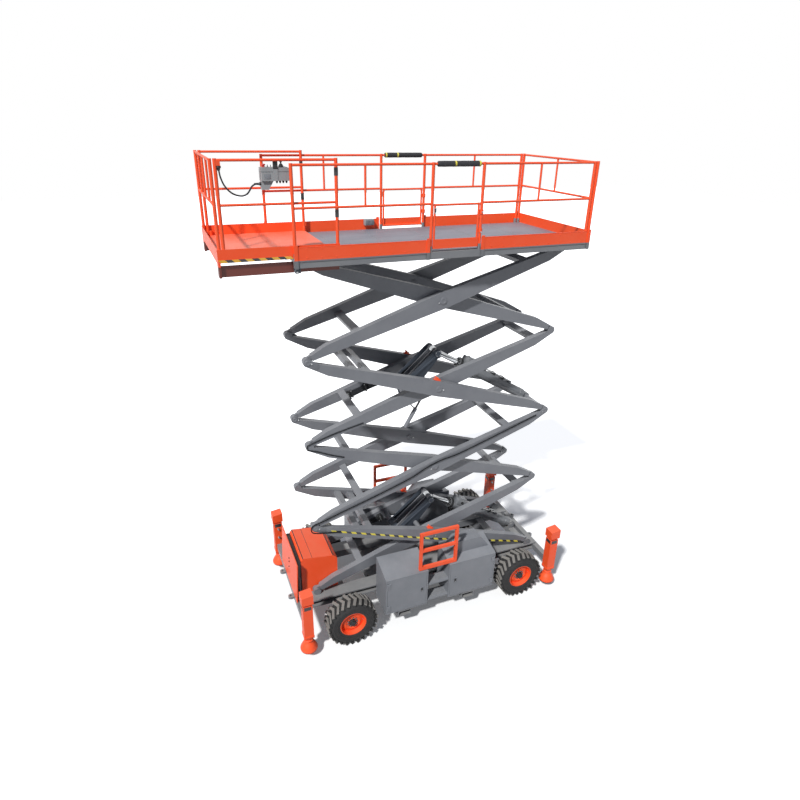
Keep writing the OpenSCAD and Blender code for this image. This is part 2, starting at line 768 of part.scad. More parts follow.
// Outrigger columns: square tubes with a cap over a neck
module column(x) translate([x, outrigger_y, 0]) {
  half = column_w / 2;
  bore = half - column_wall;
  neck = half - 25;
  top = column_z + column_h;
  difference() {
    box([-half, -half, column_z], [half, half, top]);
    box([-bore, -bore, column_z - 1], [bore, bore, top - column_wall]);
  }
  box([-neck, -neck, top - 1], [neck, neck, top + cap_gap + 1]);
  cap = half + cap_lip;
  slab(-cap, cap) polygon([
    [-cap, top + cap_gap], [cap, top + cap_gap], [cap, top + cap_gap + cap_h - cap_fall],
    [-cap, top + cap_gap + cap_h]
  ]);
}
module outrigger_columns() color(orange) placed() both_sides()
  for (x = [outrigger_front, -outrigger_back]) column(x);

// Outrigger leg: a square tube with a bell-shaped foot
module outrigger_leg(x) color(orange) placed() translate([x, outrigger_y, 0]) {
  half = leg_w / 2;
  collar = half + 6;
  leg_short = 60;
  box([-half, -half, foot_z + foot_h - 1], [half, half, column_z + column_h - leg_short]);
  translate([0, 0, foot_z]) rotate_extrude() polygon([
    [0, 0], [foot_r - 15, 0], [foot_r, 18], [foot_r, foot_h * 0.18], [foot_r - 30, foot_h * 0.44],
    [foot_r - 62, foot_h * 0.64], [collar, foot_h * 0.8], [collar, foot_h], [0, foot_h]
  ]);
}
module outrigger_front_left() outrigger_leg(outrigger_front);
module outrigger_front_right() mirror([0, 1, 0]) outrigger_leg(outrigger_front);
module outrigger_rear_left() outrigger_leg(-outrigger_back);
module outrigger_rear_right() mirror([0, 1, 0]) outrigger_leg(-outrigger_back);

// Platform frame: side and end beams, cross members and the plates that the scissor carries
cross_pitch = 700;
cross_w = 60;
outer_cross_h = 30;
inner_member_y = inner_arm_y - 20;
outer_member_y = arm_face_y + 15;
module platform_frame() color(steel_grey) placed() {
  beam_in = rail_y - side_beam_w;
  both_sides() {
    box([-deck_back, beam_in, frame_under_z], [deck_front, rail_y, frame_top_z]);
    box([-deck_back, inner_member_y, track_plate_z], [deck_front, outer_member_y, frame_top_z]);
    hanger_r = tip_r - 10;
    lug_y0 = outer_arm_y + cheek + tongue_gap;
    lug_y1 = arm_face_y - cheek - tongue_gap;
    difference() {
      union() {
        slab(lug_y0, lug_y1) translate([rear_pin_x, top_pin_z]) circle(hanger_r);
        box([rear_pin_x - hanger_r, lug_y0, top_pin_z], [rear_pin_x + hanger_r, lug_y1, frame_top_z]);
      }
      bar_y(rear_pin_x, top_pin_z, pin_r + pin_fit, lug_y0 - 1, lug_y1 + 1);
    }
    for (n = [-2:2])
      box(
        [n * cross_pitch - cross_w / 2, outer_member_y, frame_top_z - outer_cross_h],
        [n * cross_pitch + cross_w / 2, beam_in, frame_top_z]);
    box(
      [deck_front - cross_w, outer_member_y, frame_top_z - outer_cross_h],
      [deck_front, beam_in, frame_top_z]);
  }
  for (n = [-2:2])
    box(
      [n * cross_pitch - cross_w / 2, -inner_member_y, frame_under_z],
      [n * cross_pitch + cross_w / 2, inner_member_y, frame_top_z]);
  box([deck_front - cross_w, -inner_member_y, frame_under_z], [deck_front, inner_member_y, frame_top_z]);
  box([-deck_back, -beam_in, frame_under_z], [-deck_back + cross_w, beam_in, frame_top_z]);
}

// Deck plate between the posts, which stand on the side beams
deck_half = post_y - post_r - slide_fit;
module deck() color(zinc) placed()
  box([-deck_back, -deck_half, frame_top_z], [deck_front, deck_half, deck_z]);

// Toe boards outside the deck, broken at the gates, with an upright shoe at each post
shoe_w = 44;
shoe_t = 10;
shoe_rise = 20;
module toe_boards() color(orange) placed() {
  z0 = frame_top_z - 17;
  z1 = deck_z + toe_h;
  both_sides() {
    box([post_x + post_r, rail_y, z0], [deck_front, rail_y + toe_t, z1]);
    box([-deck_back, rail_y, z0], [-post_x - post_r, rail_y + toe_t, z1]);
    for (x = [post_x + post_r, deck_front - shoe_w, -deck_back, -post_x - post_r - shoe_w])
      box([x, rail_y + toe_t, frame_under_z], [x + shoe_w, rail_y + toe_t + shoe_t, z1 + shoe_rise]);
  }
  box([-deck_back - toe_t, -rail_y, z0], [-deck_back, rail_y, z1]);
}

// A guard rail panel along X between two end posts, with a baluster in the middle of its upper bay
corner_gap = 10;
module side_panel(x0, x1) {
  for (z = [top_rail_z, mid_rail_z]) tube_x(x0, x1, post_y, z, rail_r);
  for (x = [x0, x1]) tube_z(x, post_y, frame_top_z, top_rail_z + post_over, post_r);
  tube_z((x0 + x1) / 2, post_y, mid_rail_z, top_rail_z, baluster_r);
}
module main_rails() color(orange) placed() {
  back = -deck_back + post_r;
  both_sides() {
    side_panel(post_x, deck_front - post_r);
    side_panel(back + 2 * post_r + corner_gap, -post_x);
  }
  for (z = [top_rail_z, mid_rail_z]) bar_y(back, z, rail_r, -post_y, post_y);
  for (y = [-post_y, post_y]) tube_z(back, y, frame_top_z, top_rail_z + post_over, post_r);
  tube_z(back, 0, mid_rail_z, top_rail_z, baluster_r);
}

// Top bars over the gates, with foam pads
pad_t = 20;
pad_end = 30;
module gate_bars() color(orange) placed() both_sides()
  tube_x(-gate_half, gate_half, post_y, top_rail_z, rail_r);
module rail_pads() color(black) placed() both_sides() difference() {
  tube_x(-gate_half + pad_end, gate_half - pad_end, post_y, top_rail_z, rail_r + pad_t);
  tube_x(-gate_half, gate_half, post_y, top_rail_z, rail_r + slide_fit);
}

// Half-height gates hinged at their rear posts
gate_r = 14;
gate_fit = 8;
gate_hinge_h = 50;
gate_foot = 30;
gate_hinge_t = 9;
gate_hinge_up = 60;
gate_hinge_down = 140;
gate_plate_t = 6;
module gate() {
  x0 = -gate_half + gate_fit;
  x1 = gate_half - gate_fit;
  z0 = deck_z + gate_foot;
  z1 = mid_rail_z;
  y = post_y;
  for (z = [z0 + gate_r, z1 - gate_r]) tube_x(x0, x1, y, z, gate_r);
  for (x = [x0 + gate_r, x1 - gate_r]) tube_z(x, y, z0, z1, gate_r);
  box([x0, y + gate_r - 2, z0], [x1, y + gate_r - 2 + gate_plate_t, deck_z + toe_h]);
  for (z = [deck_z + toe_h + gate_hinge_up, z1 - gate_hinge_down]) difference() {
    union() {
      tube_z(-post_x, y, z, z + gate_hinge_h, post_r + gate_hinge_t);
      box([-post_x, y - gate_hinge_t / 2, z], [x0 + gate_r, y + gate_hinge_t / 2, z + gate_hinge_h]);
    }
    tube_z(-post_x, y, z - 1, z + gate_hinge_h + 1, post_r + pin_fit);
  }
}
module gate_left() color(orange) placed() gate();
module gate_right() mirror([0, 1, 0]) gate_left();

// Extension deck with its end plate and two slide bars, which run under the platform's cross members
slide_top_z = frame_top_z - outer_cross_h - slide_fit;
slide_low_z = slide_top_z - slide_bar_h;
extension_toe = 10;
module extension_deck() color(orange) placed() {
  half = extension_half;
  toe_top = deck_z + toe_h + extension_toe;
  box([extension_back, -half, extension_z], [extension_front, half, extension_z + extension_t]);
  box(
    [extension_front - extension_end_t, -half, track_plate_z + run_gap],
    [extension_front, half, extension_z + extension_t]);
  both_sides() {
    box(
      [extension_back, slide_bar_y, slide_low_z],
      [extension_front, slide_bar_y + slide_bar_w, slide_top_z]);
    box(
      [extension_front - extension_end_t, slide_bar_y - slide_bar_w, slide_low_z],
      [extension_front, half, extension_z]);
    box(
      [extension_back, half - toe_t, extension_z],
      [extension_front, half, toe_top]);
  }
  box([extension_front - toe_t, -half, extension_z], [extension_front, half, toe_top]);
}

// Extension guard rails, with the control cable's socket under the left front corner
socket_w = 35;
socket_half = 18;
socket_drop = 40;
module extension_rails() color(orange) placed() {
  top = top_rail_z + extension_lift;
  mid = mid_rail_z + extension_lift;
  foot = extension_z + extension_t;
  y = extension_y;
  front = extension_front - post_r - toe_t;
  back = extension_back + post_r;
  side_end = front - 2 * post_r - corner_gap;
  both_sides() {
    for (z = [top, mid]) tube_x(back, side_end, y, z, rail_r);
    for (x = [back, side_end]) tube_z(x, y, foot, top + post_over, post_r);
  }
  for (z = [top, mid]) bar_y(front, z, rail_r, -y, y);
  for (y1 = [-y, y]) tube_z(front, y1, foot, top + post_over, post_r);
  for (y1 = [-y / 2, 0, y / 2]) tube_z(front, y1, mid, top, baluster_r);
  box(
    [side_end - post_r - socket_w, y - socket_half, top - rail_r - socket_drop],
    [side_end, y + socket_half, top]);
}

// Control box strapped to the inside of the extension's left rail, with a tapered tail that holds the cable's gland
box_x = extension_back + 554;
box_w = 310;
box_d = 160;
box_h = 135;
box_drop = 85;
tail_w = 135;
tail_end = 75;
tail_d = 110;
tail_h = 95;
strap_x = 130;
strap_w = 50;
strap_t = 6;
gland_up = 60;
gland_len = 24;
gland_r = 16;
module control_box() color(zinc) placed() {
  x1 = box_x + box_w;
  y1 = extension_y - rail_r - slide_fit;
  y_mid = y1 - strap_t - box_d / 2;
  z1 = top_rail_z + extension_lift - box_drop;
  z0 = z1 - box_h;
  box([box_x, y1 - strap_t - box_d, z0], [x1, y1 - strap_t, z1]);
  box([box_x + strap_x, y1 - strap_t, z0], [box_x + strap_x + strap_w, y1, top_rail_z + extension_lift]);
  slab(y_mid - tail_d / 2, y_mid + tail_d / 2) polygon([
    [x1 - tail_w, z0 + 1], [x1, z0 + 1], [x1, z0 - tail_h], [x1 - tail_end, z0 - tail_h]
  ]);
  tube_x(x1, x1 + gland_len, y_mid, z0 - tail_h + gland_up, gland_r);
}

// Control cable: a free cord from the box's gland to a socket on the front post, along points chosen by hand
cable_r = 9;
cable_sides = 10;
cable_points = [
  [2072.5, 751, 6975], [2096, 751, 6975], [2122, 753, 6956], [2145, 757, 6922],
  [2172, 762, 6880], [2208, 769, 6848], [2252, 778, 6836], [2300, 790, 6850],
  [2345, 803, 6882], [2385, 815, 6922], [2420, 826, 6966], [2450, 836, 7012],
  [2476, 844, 7060], [2494, 849, 7105], [2502, 852, 7142], [2502, 852, 7175]
];
function unit(v) = v / norm(v);
function heading(p, i) = unit(p[min(i + 1, len(p) - 1)] - p[max(i - 1, 0)]);
function cable_ring(p, i) =
  let (t = heading(p, i), u = unit(cross(t, [0, 1, 0])), v = cross(t, u), turn = 360 / cable_sides)
  [for (a = [0:cable_sides - 1]) p[i] + cable_r * (cos(a * turn) * u + sin(a * turn) * v)];
module cable_tube(p) {
  n = cable_sides;
  last = (len(p) - 1) * n;
  polyhedron(
    points = [for (i = [0:len(p) - 1]) for (q = cable_ring(p, i)) q],
    faces = concat(
      [[for (a = [0:n - 1]) a]],
      [[for (a = [n - 1:-1:0]) last + a]],
      [for (i = [0:len(p) - 2]) for (a = [0:n - 1])
        [i * n + a, (i + 1) * n + a, (i + 1) * n + (a + 1) % n, i * n + (a + 1) % n]]));
}
module control_cable() color(black) cable_tube(cable_points);

chassis_frame();
hood();
front_panel();
cabinets_left();
cabinets_right();
access_ladders();
fork_pockets();
engine();
front_axle();
rear_axle();
outrigger_columns();
outrigger_front_left();
outrigger_front_right();
outrigger_rear_left();
outrigger_rear_right();
knuckle_left();
knuckle_right();
rim_front_left();
rim_front_right();
rim_rear_left();
rim_rear_right();
tyre_front_left();
tyre_front_right();
tyre_rear_left();
tyre_rear_right();
door_front_left();
door_front_right();
door_rear_left();
door_rear_right();
outer_frame_1();
outer_frame_2();
outer_frame_3();
outer_frame_4();
inner_frame_1();
inner_frame_2();
inner_frame_3();
inner_frame_4();
lower_barrel();
lower_rod();
upper_barrel();
upper_rod();
platform_frame();
deck();
toe_boards();
main_rails();
gate_bars();
rail_pads();
gate_left();
gate_right();
extension_deck();
extension_rails();
control_box();
control_cable();
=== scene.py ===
"""Looks of a rough-terrain scissor lift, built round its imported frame.

Sizes are in metres in the frame's own axes: +X to the front, +Y to the machine's left, +Z up.
"""
import json
import logging
import math
from dataclasses import dataclass
from enum import Enum
from typing import Any, Sequence

import bmesh
import bpy
from mathutils import Matrix, Vector


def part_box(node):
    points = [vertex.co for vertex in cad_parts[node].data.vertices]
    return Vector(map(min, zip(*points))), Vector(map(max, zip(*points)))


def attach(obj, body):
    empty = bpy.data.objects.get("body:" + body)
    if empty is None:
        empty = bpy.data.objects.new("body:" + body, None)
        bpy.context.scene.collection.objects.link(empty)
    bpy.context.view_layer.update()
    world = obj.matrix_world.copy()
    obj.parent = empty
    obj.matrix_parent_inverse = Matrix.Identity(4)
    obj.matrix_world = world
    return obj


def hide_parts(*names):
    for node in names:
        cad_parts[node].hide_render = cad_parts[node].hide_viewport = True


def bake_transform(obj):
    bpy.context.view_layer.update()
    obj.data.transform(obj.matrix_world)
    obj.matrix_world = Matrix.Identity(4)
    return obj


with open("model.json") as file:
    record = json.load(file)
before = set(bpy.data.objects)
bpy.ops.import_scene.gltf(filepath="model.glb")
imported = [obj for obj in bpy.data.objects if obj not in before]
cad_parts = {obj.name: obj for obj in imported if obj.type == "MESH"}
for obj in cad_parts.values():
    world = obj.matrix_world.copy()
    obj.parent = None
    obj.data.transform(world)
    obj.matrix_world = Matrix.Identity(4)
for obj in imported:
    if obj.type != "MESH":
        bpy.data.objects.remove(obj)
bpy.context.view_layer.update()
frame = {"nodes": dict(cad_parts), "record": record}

LOG = logging.getLogger("scissor_lift")
LEFT, RIGHT = 1, -1
SIDES = (LEFT, RIGHT)
NAMED_SIDES = ((LEFT, "left"), (RIGHT, "right"))
Profile = tuple[tuple[float, float], ...]


def srgb(code: str) -> tuple[float, float, float, float]:
    """Turn an sRGB hex colour to a linear one.

    Args:
        code: The colour as "#rrggbb".

    Returns:
        Linear red, green, blue and an alpha of 1.
    """
    parts = [int(code[i:i + 2], 16) / 255 for i in (1, 3, 5)]
    linear = [c / 12.92 if c <= 0.04045 else ((c + 0.055) / 1.055) ** 2.4 for c in parts]
    return (linear[0], linear[1], linear[2], 1.0)


def per_mm(size: float) -> float:
    """Return the texture scale whose features are this many millimetres across."""
    return 1000 / size


def add_node(
    tree: bpy.types.NodeTree,
    kind: str,
    settings: dict[str, Any] | None = None,
    values: dict[str | int, Any] | None = None,
    links: dict[str | int, bpy.types.NodeSocket] | None = None,
) -> bpy.types.Node:
    """Add one node with its settings, socket values and links.

    Args:
        tree: The node tree that takes the node.
        kind: The node's type name.
        settings: Properties of the node.
        values: Values of its input sockets, by name or place.
        links: Sockets that feed its input sockets, by name or place.

    Returns:
        The new node.
    """
    node = tree.nodes.new(kind)
    for key, value in (settings or {}).items():
        setattr(node, key, value)
    for key, value in (values or {}).items():
        node.inputs[key].default_value = value
    for key, source in (links or {}).items():
        tree.links.new(source, node.inputs[key])
    return node


@dataclass(frozen=True)
class Wiring:
    """A material's nodes: its tree, its principled shader and the socket with the piece's own coordinates."""

    tree: bpy.types.NodeTree
    shader: bpy.types.Node
    where: bpy.types.NodeSocket

    def stretched(self, scale: tuple[float, float, float]) -> bpy.types.NodeSocket:
        """Return the piece's coordinates, scaled along its axes."""
        return add_node(self.tree, "ShaderNodeMapping", values={"Scale": scale},
                        links={"Vector": self.where}).outputs["Vector"]

    def noise(self, size_mm: float, detail: float, roughness: float = 0.5, distortion: float = 0.0,
              vector: bpy.types.NodeSocket | None = None) -> bpy.types.NodeSocket:
        """Return noise of a real size.

        Args:
            size_mm: The size of its features in millimetres.
            detail: How many finer layers it has.
            roughness: How strong those layers are.
            distortion: How far it is warped.
            vector: Its coordinates, or the piece's own.

        Returns:
            The noise's value.
        """
        return add_node(self.tree, "ShaderNodeTexNoise", values={
            "Scale": per_mm(size_mm), "Detail": detail, "Roughness": roughness, "Distortion": distortion},
            links={"Vector": vector or self.where}).outputs["Fac"]

    def ramp(self, source: bpy.types.NodeSocket, *stops: tuple[float, str]) -> bpy.types.NodeSocket:
        """Return a colour ramp over a value.

        Args:
            source: The value.
            stops: Pairs of place and hex colour, the first and last of which reuse the ramp's own two.

        Returns:
            The colour.
        """
        node = add_node(self.tree, "ShaderNodeValToRGB", links={"Fac": source})
        elements = node.color_ramp.elements
        for stop, (place, code) in zip((elements[0], elements[-1]), (stops[0], stops[-1])):
            stop.position, stop.color = place, srgb(code)
        for place, code in stops[1:-1]:
            elements.new(place).color = srgb(code)
        return node.outputs["Color"]

    def over(self, factor: bpy.types.NodeSocket, under: bpy.types.NodeSocket, code: str) -> bpy.types.NodeSocket:
        """Return a hex colour laid over another colour by a factor."""
        return add_node(self.tree, "ShaderNodeMix", {"data_type": "RGBA"}, {7: srgb(code)},
                        {0: factor, 6: under}).outputs[2]

    def spread(self, source: bpy.types.NodeSocket, low: float, high: float, start: float = 0.0,
               end: float = 1.0) -> bpy.types.NodeSocket:
        """Return a value that runs from low to high while the source runs from start to end."""
        return add_node(self.tree, "ShaderNodeMapRange", values={
            "From Min": start, "From Max": end, "To Min": low, "To Max": high},
            links={"Value": source}).outputs["Result"]

    def height(self, vector: bpy.types.NodeSocket) -> bpy.types.NodeSocket:
        """Return the Z part of a vector."""
        return add_node(self.tree, "ShaderNodeSeparateXYZ", links={0: vector}).outputs["Z"]

    def feed(self, name: str, source: bpy.types.NodeSocket) -> None:
        """Link a value to one of the shader's inputs."""
        self.tree.links.new(source, self.shader.inputs[name])

    def emboss(self, source: bpy.types.NodeSocket, strength: float, distance: float) -> None:
        """Raise the surface by a value."""
        bump = add_node(self.tree, "ShaderNodeBump", values={"Strength": strength, "Distance": distance},
                        links={"Height": source})
        self.feed("Normal", bump.outputs["Normal"])


@dataclass(frozen=True)
class Finish:
    """A surface finish: the real material's name, and the record's slot that it belongs to."""

    name: str
    slot: str

    def material(self) -> bpy.types.Material:
        """Return the finish's material, which is made once."""
        found = bpy.data.materials.get(self.name)
        if found:
            return found
        made = bpy.data.materials.new(self.name)
        made.use_nodes = True
        tree = made.node_tree
        where = add_node(tree, "ShaderNodeTexCoord").outputs["Object"]
        self.dress(Wiring(tree, tree.nodes["Principled BSDF"], where))
        return made

    def dress(self, nodes: Wiring) -> None:
        """Build the finish's nodes; each kind of finish has its own."""
        raise NotImplementedError


@dataclass(frozen=True)
class PaintedSteel(Finish):
    """Sprayed enamel on welded steel: even satin colour, a film of dust on what faces up, scuffs and small chips."""

    colour: str = "#808080"
    faded: str = "#909090"
    dust: str = "#a59f96"
    chip: str = "#3a3a3c"
    dust_share: float = 0.35
    roughness: float = 0.42
    coat: float = 0.12
    mottle_mm: float = 420.0
    scuff_mm: float = 60.0
    # Real orange peel is about 2 mm across; it is drawn coarser so that it shows
    peel_mm: float = 9.0
    peel: tuple[float, float] = (0.06, 0.002)
    fade_at: tuple[float, float] = (0.35, 0.75)
    chip_at: tuple[float, float] = (0.70, 0.76)
    dust_from: float = 0.55
    smoother: float = 0.08
    rougher: float = 0.2
    ior: float = 1.5

    def dress(self, nodes: Wiring) -> None:
        """Build enamel with fading, dust, scuffs and orange peel."""
        mottle = nodes.noise(self.mottle_mm, 5.0, 0.6)
        scuff = nodes.noise(self.scuff_mm, 8.0, 0.7, 0.6)
        paint = nodes.ramp(mottle, (self.fade_at[0], self.colour), (self.fade_at[1], self.faded))
        worn = nodes.ramp(scuff, (self.chip_at[0], "#000000"), (self.chip_at[1], "#ffffff"))
        normal = add_node(nodes.tree, "ShaderNodeNewGeometry").outputs["Normal"]
        upward = nodes.spread(nodes.height(normal), 0.0, self.dust_share, self.dust_from)
        settled = add_node(nodes.tree, "ShaderNodeMath", {"operation": "MULTIPLY"}, links={0: upward, 1: mottle})
        chipped = nodes.over(worn, paint, self.chip)
        nodes.feed("Base Color", nodes.over(settled.outputs["Value"], chipped, self.dust))
        nodes.feed("Roughness", nodes.spread(scuff, self.roughness - self.smoother, self.roughness + self.rougher))
        nodes.emboss(nodes.noise(self.peel_mm, 2.0), *self.peel)
        nodes.shader.inputs["Coat Weight"].default_value = self.coat
        nodes.shader.inputs["IOR"].default_value = self.ior


@dataclass(frozen=True)
class TwoToneEnamel(PaintedSteel):
    """Enamel in two tones: its own colour above a height of the piece, and another below it."""

    # The default lower tone, a dark red-brown, is painted shade: it darkens the orange slide bars under the sliding
    # deck as if they lay in the deck's shadow
    below: str = "#5c2419"
    split: float = 6.1012

    def dress(self, nodes: Wiring) -> None:
        """Build the enamel, then the other tone below the split."""
        super().dress(nodes)
        above = nodes.shader.inputs["Base Color"].links[0].from_socket
        low = add_node(nodes.tree, "ShaderNodeMath", {"operation": "LESS_THAN"}, {1: self.split},
                       {0: nodes.height(nodes.where)})
        nodes.feed("Base Color", nodes.over(low.outputs["Value"], above, self.below))


@dataclass(frozen=True)
class TyreRubber(Finish):
    """Moulded tyre rubber: nearly black and matt on the walls, with a pale grey on the outer lugs round its axle that
    is part dust and part a painted highlight of light on the lug tops.
    """

    axle_x: float = 0.0
    axle_z: float = 0.415
    tread_r: tuple[float, float] = (0.392, 0.404)
    colour: str = "#1c1c1d"
    shade: str = "#2b2a29"
    dust: str = "#7b7873"
    grain_mm: float = 14.0
    grain: tuple[float, float] = (0.25, 0.003)
    dust_mm: float = 90.0
    roughness: float = 0.82
    ior: float = 1.5

    def dress(self, nodes: Wiring) -> None:
        """Build rubber with a moulded grain, and a pale grey far from the axle that is part dust and part painted
        highlight on the lug tops.
        """
        tone = nodes.ramp(nodes.noise(self.dust_mm, 6.0, 0.65), (0.42, self.colour), (0.75, self.shade))
        reach = add_node(nodes.tree, "ShaderNodeVectorMath", {"operation": "DISTANCE"},
                         {1: (self.axle_x, 0.0, self.axle_z)}, {0: nodes.stretched((1.0, 0.0, 1.0))})
        # The pale grey laid on the lug tops beyond tread_r is part dust and part painted highlight of the light that
        # the tops catch
        lugs = nodes.spread(reach.outputs["Value"], 0.0, 1.0, *self.tread_r)
        nodes.feed("Base Color", nodes.over(lugs, tone, self.dust))
        nodes.emboss(nodes.noise(self.grain_mm, 4.0), *self.grain)
        nodes.shader.inputs["Roughness"].default_value = self.roughness
        nodes.shader.inputs["IOR"].default_value = self.ior


@dataclass(frozen=True)
class BareMetal(Finish):
    """Bare metal: chromed, zinc plated or cast, told apart by colour, roughness and how streaked it is."""

    colour: str = "#c4c6c8"
    dull: str = "#9a9c9e"
    metallic: float = 1.0
    roughness: float = 0.3
    streak_mm: float = 30.0
    stretch: float = 1.0
    bump: float = 0.05
    bump_depth: float = 0.001
    gloss_span: tuple[float, float] = (0.7, 1.4)

    def dress(self, nodes: Wiring) -> None:
        """Build metal with streaks and tarnish."""
        streak = nodes.noise(self.streak_mm, 6.0, 0.6, vector=nodes.stretched((1.0, self.stretch, 1.0)))
        nodes.feed("Base Color", nodes.ramp(streak, (0.3, self.dull), (0.7, self.colour)))
        glossy, matt = self.gloss_span
        nodes.feed("Roughness", nodes.spread(streak, self.roughness * glossy, self.roughness * matt))
        nodes.emboss(streak, self.bump, self.bump_depth)
        nodes.shader.inputs["Metallic"].default_value = self.metallic


@dataclass(frozen=True)
class DeckPlate(Finish):
    """Rolled aluminium deck plate: blue-grey, scuffed along the walk, with low anti-slip bars."""

    colour: str = "#868993"
    scuffed: str = "#92959d"
    grime: str = "#797c85"
    # The raised bars of such plate stand about 28 mm apart; they are drawn at 42 mm so that they show
    bar_mm: float = 42.0
    bar: tuple[float, float] = (0.15, 0.002)
    bar_turn: float = math.radians(45)
    scuff_mm: float = 260.0
    walk: tuple[float, float, float] = (0.35, 1.0, 1.0)
    metallic: float = 0.35
    roughness: float = 0.55

    def dress(self, nodes: Wiring) -> None:
        """Build scuffed plate with slanted rows of bars."""
        scuff = nodes.noise(self.scuff_mm, 8.0, 0.68, vector=nodes.stretched(self.walk))
        nodes.feed("Base Color", nodes.ramp(scuff, (0.3, self.grime), (0.5, self.colour), (0.75, self.scuffed)))
        turned = add_node(nodes.tree, "ShaderNodeMapping", values={"Rotation": (0.0, 0.0, self.bar_turn)},
                          links={"Vector": nodes.where})
        bars = add_node(nodes.tree, "ShaderNodeTexBrick", {"offset": 0.5, "squash": 0.5}, {
            "Scale": per_mm(self.bar_mm), "Mortar Size": 0.09, "Mortar Smooth": 0.5, "Brick Width": 1.0,
            "Row Height": 0.5, "Color1": srgb("#ffffff"), "Color2": srgb("#ffffff"), "Mortar": srgb("#000000")},
            {"Vector": turned.outputs["Vector"]})
        nodes.emboss(bars.outputs["Color"], *self.bar)
        nodes.shader.inputs["Metallic"].default_value = self.metallic
        nodes.shader.inputs["Roughness"].default_value = self.roughness


@dataclass(frozen=True)
class SoftPolymer(Finish):
    """Foam, moulded plastic or hose rubber, told apart by colour, gloss and grain."""

    colour: str = "#202022"
    worn: str = "#303032"
    roughness: float = 0.6
    grain_mm: float = 6.0
    grain: float = 0.15
    grain_depth: float = 0.002
    gloss_span: float = 0.1
    ior: float = 1.47

    def dress(self, nodes: Wiring) -> None:
        """Build a polymer with a moulded grain and slight wear."""
        grain = nodes.noise(self.grain_mm, 5.0, 0.6)
        nodes.feed("Base Color", nodes.ramp(grain, (0.35, self.colour), (0.8, self.worn)))
        span = self.gloss_span
        nodes.feed("Roughness", nodes.spread(grain, self.roughness - span, self.roughness + span))
        nodes.emboss(grain, self.grain, self.grain_depth)
        nodes.shader.inputs["IOR"].default_value = self.ior


ENAMEL = {"slot": "orange_paint", "colour": "#f5511f", "faded": "#f45a2c", "chip": "#7a3a2a", "roughness": 0.45}
# Orange enamel: clear and saturated, paler where sun and dust have dulled its upper faces
ORANGE = PaintedSteel("orange_enamel", **ENAMEL, dust="#e88d74", coat=0.08)
# The sliding deck's enamel: walked pale on top; the dark red-brown on the slide bars below is painted shade, the
# orange bars drawn as if in the deck's shadow
EXTENSION_WITH_PAINTED_SHADE = TwoToneEnamel("orange_extension_enamel_painted_shade_below", **ENAMEL, dust="#e99c88", dust_share=0.75, coat=0.05)
# The toe boards are orange down to the side beam, whose grey their lower edge and post brackets share
TOE_BOARD = TwoToneEnamel("orange_toe_board_enamel", **ENAMEL, dust="#e88d74", coat=0.08, below="#6b6d70",
                          split=6.1303)
# Grey enamel of the arms: cool mid grey with a soft sheen
ARM_GREY = PaintedSteel("grey_arm_enamel", "arm_paint", "#6d6f74", "#787a7e", "#a2a2a1")
# Grey enamel of the chassis and platform frame: the same grey, dirtier
FRAME_GREY = PaintedSteel("grey_frame_enamel", "frame_paint", "#6f7174", "#7c7d7f", "#a8a49c", dust_share=0.5)
# Grey enamel of the cabinets: smooth sheet metal, a little bluer
CABINET_GREY = PaintedSteel("grey_cabinet_enamel", "cabinet_paint", "#73767b", "#7f8186", "#a3a4a6", roughness=0.38)
# Cylinder enamel: mid grey and smoother than the arms
BARREL_GREY = PaintedSteel("grey_cylinder_enamel", "cylinder_paint", "#686b6f", "#77797b", "#8d8c89", roughness=0.34)
# Dark enamel of the levers and small brackets: blue-black satin
DARK_ENAMEL = PaintedSteel("dark_bracket_enamel", "arm_paint", "#343b45", "#3f464f", "#5a5f66",
                           roughness=0.6, coat=0.0)
# Marking paints: a lemon yellow on the arms, a deeper amber on the sliding deck, and a dull black
YELLOW = PaintedSteel("yellow_marking_paint", "arm_paint", "#dccb3c", "#e2d765", "#c9c08a", "#6b652d", 0.2, 0.5)
AMBER = PaintedSteel("amber_marking_paint", "orange_paint", "#dfab35", "#e3b953", "#c9b083", "#6b552d", 0.2, 0.5)
BLACK = PaintedSteel("black_marking_paint", "arm_paint", "#1d1e20", "#2a2b2c", "#55524d", "#4a4a4a", 0.25, 0.5)
# Tyre rubber: black walls, and grey lug tops that are part dust and part painted highlight, placed round the front or
# the rear axle
FRONT_TYRE = TyreRubber("moulded_front_tyre_rubber", "tyre_rubber", 1.188)
REAR_TYRE = TyreRubber("moulded_rear_tyre_rubber", "tyre_rubber", -1.892)
# Hard chrome on the rods: bright, with faint streaks
CHROME = BareMetal("hard_chrome", "chromed_rod", "#d4d6d8", "#b4b7ba", 1.0, 0.14, 60.0, 6.0, 0.02)
# Zinc plated pins and bolts: pale grey, slightly blotched
ZINC = BareMetal("zinc_plated_steel", "arm_paint", "#b9bbbc", "#8b8d8e", 0.9, 0.38, 18.0)
# Cast iron of the engine, hubs and fittings: dark and rough
IRON = BareMetal("cast_iron", "engine_iron", "#2d2e30", "#1d1d1e", 0.3, 0.62, 12.0, 1.0, 0.3)
# Deck plate: blue-grey, with scuffs along the walk
DECK = DeckPlate("rolled_aluminium_plate", "deck_plate")
# Closed-cell foam sleeves: matt black with a fine pitted skin
FOAM = SoftPolymer("closed_cell_foam", "foam_pad", "#1f2022", "#34353a", 0.78, 5.0, 0.35)
# Moulded ABS of the control box: pale grey, finely grained; its stop button is a clear red
ABS = SoftPolymer("moulded_abs", "box_plastic", "#8f9192", "#a2a4a5", 0.5, 3.0, 0.12)
RED_ABS = SoftPolymer("red_moulded_abs", "box_plastic", "#b3211c", "#c93a30", 0.4, 3.0, 0.1)
# Hydraulic hose cover: matt black synthetic rubber, a little greyer where it is rubbed
HOSE = SoftPolymer("hose_rubber", "cable_rubber", "#1d1f22", "#2b2d31", 0.85, 4.0, 0.2)

